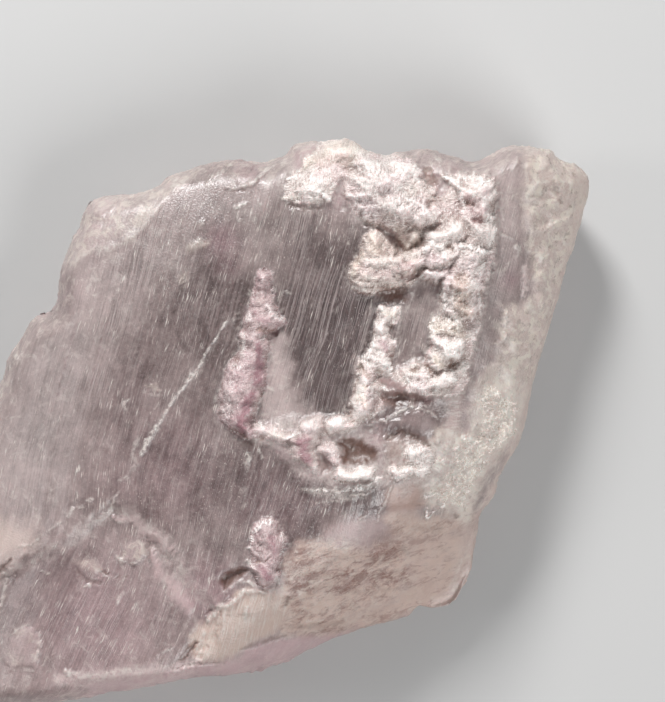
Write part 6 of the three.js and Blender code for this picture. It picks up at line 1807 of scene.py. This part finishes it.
def with_bands(tree, face, paint, x, y):
    """Adds the light and dark strata of the banded places."""
    way_x, way_y = STRATA_WAY
    sideways = tree.plus(tree.times(x, way_x), tree.times(y, way_y))
    upwards = tree.plus(tree.times(x, -way_y), tree.times(y, way_x))
    fine = {"detail": 9.0, "distortion": 1.2, "crisp": 0.7}
    strata = tree.streaks(sideways, upwards, sizes=(1.3, 0.5), layer=28.0, **fine)
    gather = tree.streaks(sideways, upwards, sizes=(5.0, 2.2), layer=24.0, detail=4.0, distortion=0.6)
    strata = tree.plus(strata, tree.times(gather, 0.7), -0.35)
    face = tree.lay(face, BAND_LIGHT, tree.between(strata, 0.48, 0.6), paint["bands"], strength=0.75)
    return tree.lay(face, BAND_DARK, tree.between(strata, 0.5, 0.36), paint["bands"], strength=0.9)


def kunzite_material():
    """Translucent kunzite: silky lines over a face that is dark where clear and pale where milky."""
    tree = Tree("kunzite")
    paint = {name: tree.number(name) for name in FACE_PAINTS}
    across, along = tree.number("across"), tree.number("along")
    place, x, y = tree.millimetres()
    face, shape = clear_face(tree, paint, place, across, along)

    mottles = tree.noise(place, scale=0.7, detail=8.0, distortion=0.8, crisp=0.66)
    face = tree.lay(face, FACE_TAN, paint["tan"], tree.between(mottles, 0.3, 0.6, to_low=0.6))
    face = tree.lay(face, FACE_CREAM, paint["cream"], strength=0.8)
    face = with_lace(tree, face, paint, place)
    face = with_bands(tree, face, paint, x, y)
    ribs = tree.streaks(x, y, sizes=(1.0, 0.2), layer=32.0, detail=1.0)
    face = tree.lay(face, FACE_WHITE, tree.between(ribs, 0.48, 0.6), paint["ribs"], strength=0.5)
    brush = tree.streaks(across, along, sizes=(0.16, 2.0), layer=36.0, detail=2.0)
    face = tree.lay(face, FACE_WHITE, tree.between(brush, 0.48, 0.62), paint["brushed"], strength=0.7)

    grain = tree.between(tree.noise(place, scale=4.0, detail=3.0), 0.42, 0.58)
    face = tree.lay(face, FACE_WHITE, paint["crust"], grain, strength=0.8)
    face = tree.lay(face, FACE_PINK, paint["pink"])
    # Brown: the bevels' own stains, and painted shade in hollows and below high crust.
    brown_stain_and_shade = tree.noise(place, scale=1.3, detail=3.0, distortion=1.0)
    face = tree.lay(face, FACE_BROWN, paint["brown"], tree.between(brown_stain_and_shade, 0.3, 0.6, to_low=0.7))
    chalk = tree.noise(place, scale=3.0, detail=3.0)
    chalk = tree.between(chalk, 0.38, 0.56, to_low=0.25, to_high=0.9)
    face = tree.lay(face, FACE_WHITE, paint["white"], chalk)

    pitting = tree.noise(place, scale=5.0, detail=2.0)
    relief = tree.plus(tree.times(shape, 0.022), tree.times(pitting, 0.045))
    tree.surface({
        "Base Color": face,
        "Normal": tree.bump(relief),
        "Roughness": tree.between(paint["milk"], 0.2, 0.9, to_low=0.28, to_high=0.46),
        "IOR": KUNZITE_IOR,
        "Transmission Weight": TRANSMISSION,
        "Subsurface Weight": FACE_GLOW,
        "Subsurface Radius": FACE_GLOW_RADII,
        "Subsurface Scale": GLOW_DEPTH * MM,
    })
    absorption = {"Color": ABSORPTION, "Density": ABSORPTION_DENSITY}
    tree.volume(tree.add("ShaderNodeVolumeAbsorption", absorption))
    return tree.material


def crust_material():
    """Sugary crust: white grains with beige or pink between them."""
    tree = Tree("kunzite_crust")
    paint = {name: tree.number(name) for name in CRUST_PAINTS}
    place, x, y = tree.millimetres()
    sugar = tree.between(tree.noise(place, scale=5.5, detail=3.0), 0.34, 0.66)
    fall = tree.streaks(x, y, sizes=(0.14, 0.55), layer=44.0, detail=3.0, distortion=0.3)
    sweep = tree.streaks(x, y, sizes=(0.55, 0.14), layer=48.0, detail=3.0, distortion=0.3)
    turn = tree.between(tree.noise(place, scale=0.45, detail=2.0, distortion=1.0), 0.44, 0.56)
    fibres = {MIX_SHARE: turn, NUMBER_A: fall, NUMBER_B: sweep}
    fibres = tree.add("ShaderNodeMix", fibres, data_type="FLOAT")
    fibres = tree.between(fibres, 0.34, 0.66)
    grit = tree.plus(tree.times(paint["bright"], 0.2), tree.times(sugar, 0.35), tree.times(fibres, 0.45))
    quiet = tree.rest(tree.times(paint["smooth"], 0.8))
    grit = tree.plus(tree.times(tree.maths("SUBTRACT", grit, 0.5), quiet, 1.1), 0.5)
    pale = tree.rest(tree.times(paint["pink"], 0.6))
    # White specks: partly the crust's own white crystals, partly painted glints.
    crystals_and_glints = tree.between(tree.noise(place, scale=7.0, detail=1.0), 0.58, 0.68)
    gaps = tree.between(tree.noise(place, scale=5.0, detail=2.0), 0.42, 0.32)

    clouds = tree.noise(place, scale=0.5, detail=3.0, distortion=0.5)
    # Painted light and shade: raised crust and grain tops lean to the grain colours, sunken crust to the
    # gaps'.
    standing_out = tree.times(paint["raised"], 0.6)
    shine = tree.plus(standing_out, tree.times(grit, 0.45), tree.times(clouds, 0.45), -0.26)
    shine = tree.between(shine, 0.14, 0.8)
    face = tree.colour(shine, CRUST_GAP, CRUST_GRAIN)
    face = tree.lay(face, tree.colour(shine, CREAM_GAP, CREAM_GRAIN), paint["cream"])
    face = tree.lay(face, tree.colour(shine, TAN_GAP, TAN_GRAIN), paint["tan"])
    blush = tree.between(tree.noise(place, scale=0.3, detail=4.0), 0.48, 0.62)
    blush = tree.maths("MAXIMUM", paint["mauve"], blush)
    face = tree.lay(face, MAUVE_TINT, blush, strength=0.35, blend="MULTIPLY")
    face = tree.lay(face, tree.colour(shine, PINK_GAP, PINK_GRAIN), paint["pink"])
    # Brown: mostly painted shade in crevices, hollows and below high crust.
    face = tree.lay(face, CRUST_BROWN, paint["brown"], strength=0.9)
    chalk = tree.between(grit, 0.3, 0.65, to_low=0.15, to_high=0.9)
    face = tree.lay(face, CRUST_WHITE, paint["white"], chalk)
    face = tree.lay(face, CRUST_GAP, gaps, quiet, strength=0.4)
    face = tree.lay(face, CRUST_WHITE, crystals_and_glints, quiet, pale, strength=0.6)

    glints = tree.noise(place, scale=3.5, detail=1.0)
    grain = tree.noise(place, scale=6.0, detail=3.0)
    tree.surface({
        "Base Color": face,
        "Normal": tree.bump(tree.plus(tree.times(grain, 0.07), tree.times(fibres, 0.045))),
        "Roughness": tree.between(glints, 0.5, 0.7, to_low=0.5, to_high=0.22),
        "IOR": KUNZITE_IOR,
        "Subsurface Weight": CRUST_GLOW,
        "Subsurface Radius": CRUST_GLOW_RADII,
        "Subsurface Scale": GLOW_DEPTH * MM,
    })
    return tree.material


def floor_material():
    tree = Tree("pale_floor")
    tree.surface({"Base Color": FLOOR_COLOUR, "Roughness": FLOOR_ROUGHNESS})
    return tree.material


# ================= The stage =================
def area_light(name, towards, distance, size, power, target):
    """A square lamp that shines on the target from the given direction."""
    lamp = bpy.data.lights.new(name, "AREA")
    lamp.size = size
    lamp.energy = power
    light = bpy.data.objects.new(name, lamp)
    direction = Vector(towards).normalized()
    light.location = target + direction * distance
    light.rotation_euler = direction.to_track_quat("Z", "Y").to_euler()
    bpy.context.scene.collection.objects.link(light)


def make_floor():
    """A square just below the crystal."""
    signs = ((-1, -1), (1, -1), (1, 1), (-1, 1))
    corners = [(x * FLOOR_HALF, y * FLOOR_HALF, -FLOOR_DROP) for x, y in signs]
    mesh = bpy.data.meshes.new("floor")
    mesh.from_pydata(corners, [], [(0, 1, 2, 3)])
    mesh.materials.append(floor_material())
    floor = bpy.data.objects.new("floor", mesh)
    bpy.context.scene.collection.objects.link(floor)


def make_stage(target):
    make_floor()
    for name, lamp in LAMPS.items():
        area_light(name, *lamp, target)
    world = bpy.data.worlds.new("studio")
    world.use_nodes = True
    sky = world.node_tree.nodes["Background"]
    sky.inputs["Color"].default_value = SKY_COLOUR
    sky.inputs["Strength"].default_value = SKY_STRENGTH
    bpy.context.scene.world = world
    bpy.context.scene.view_settings.view_transform = "Standard"


def make_camera(x, y):
    """Looks straight down on the broad face, with +Y up the picture."""
    camera = bpy.data.cameras.new("camera")
    camera.sensor_width = SENSOR
    camera.lens = SENSOR * CAMERA_RISE / VIEW_HEIGHT
    camera.clip_start, camera.clip_end = CLIP_START, CLIP_END
    body = bpy.data.objects.new("camera", camera)
    body.location = (x * MM, y * MM, (CAMERA_RISE + FACE_PLANE) * MM)
    bpy.context.scene.collection.objects.link(body)
    bpy.context.scene.camera = body


low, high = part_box("crystal")
middle = (low + high) / 2
shift = np.array([middle.x / MM - outline_middle()[0], middle.y / MM - outline_middle()[1], 0])
corners, triangles, values = crystal_mesh()
crusted = values.pop("crusted")[triangles].mean(axis=1) > CRUST_LIMIT
materials = (kunzite_material(), crust_material())
make_piece("kunzite_crystal", corners + shift, triangles, values, materials, crusted)
make_stage(middle)
make_camera(shift[0], shift[1])
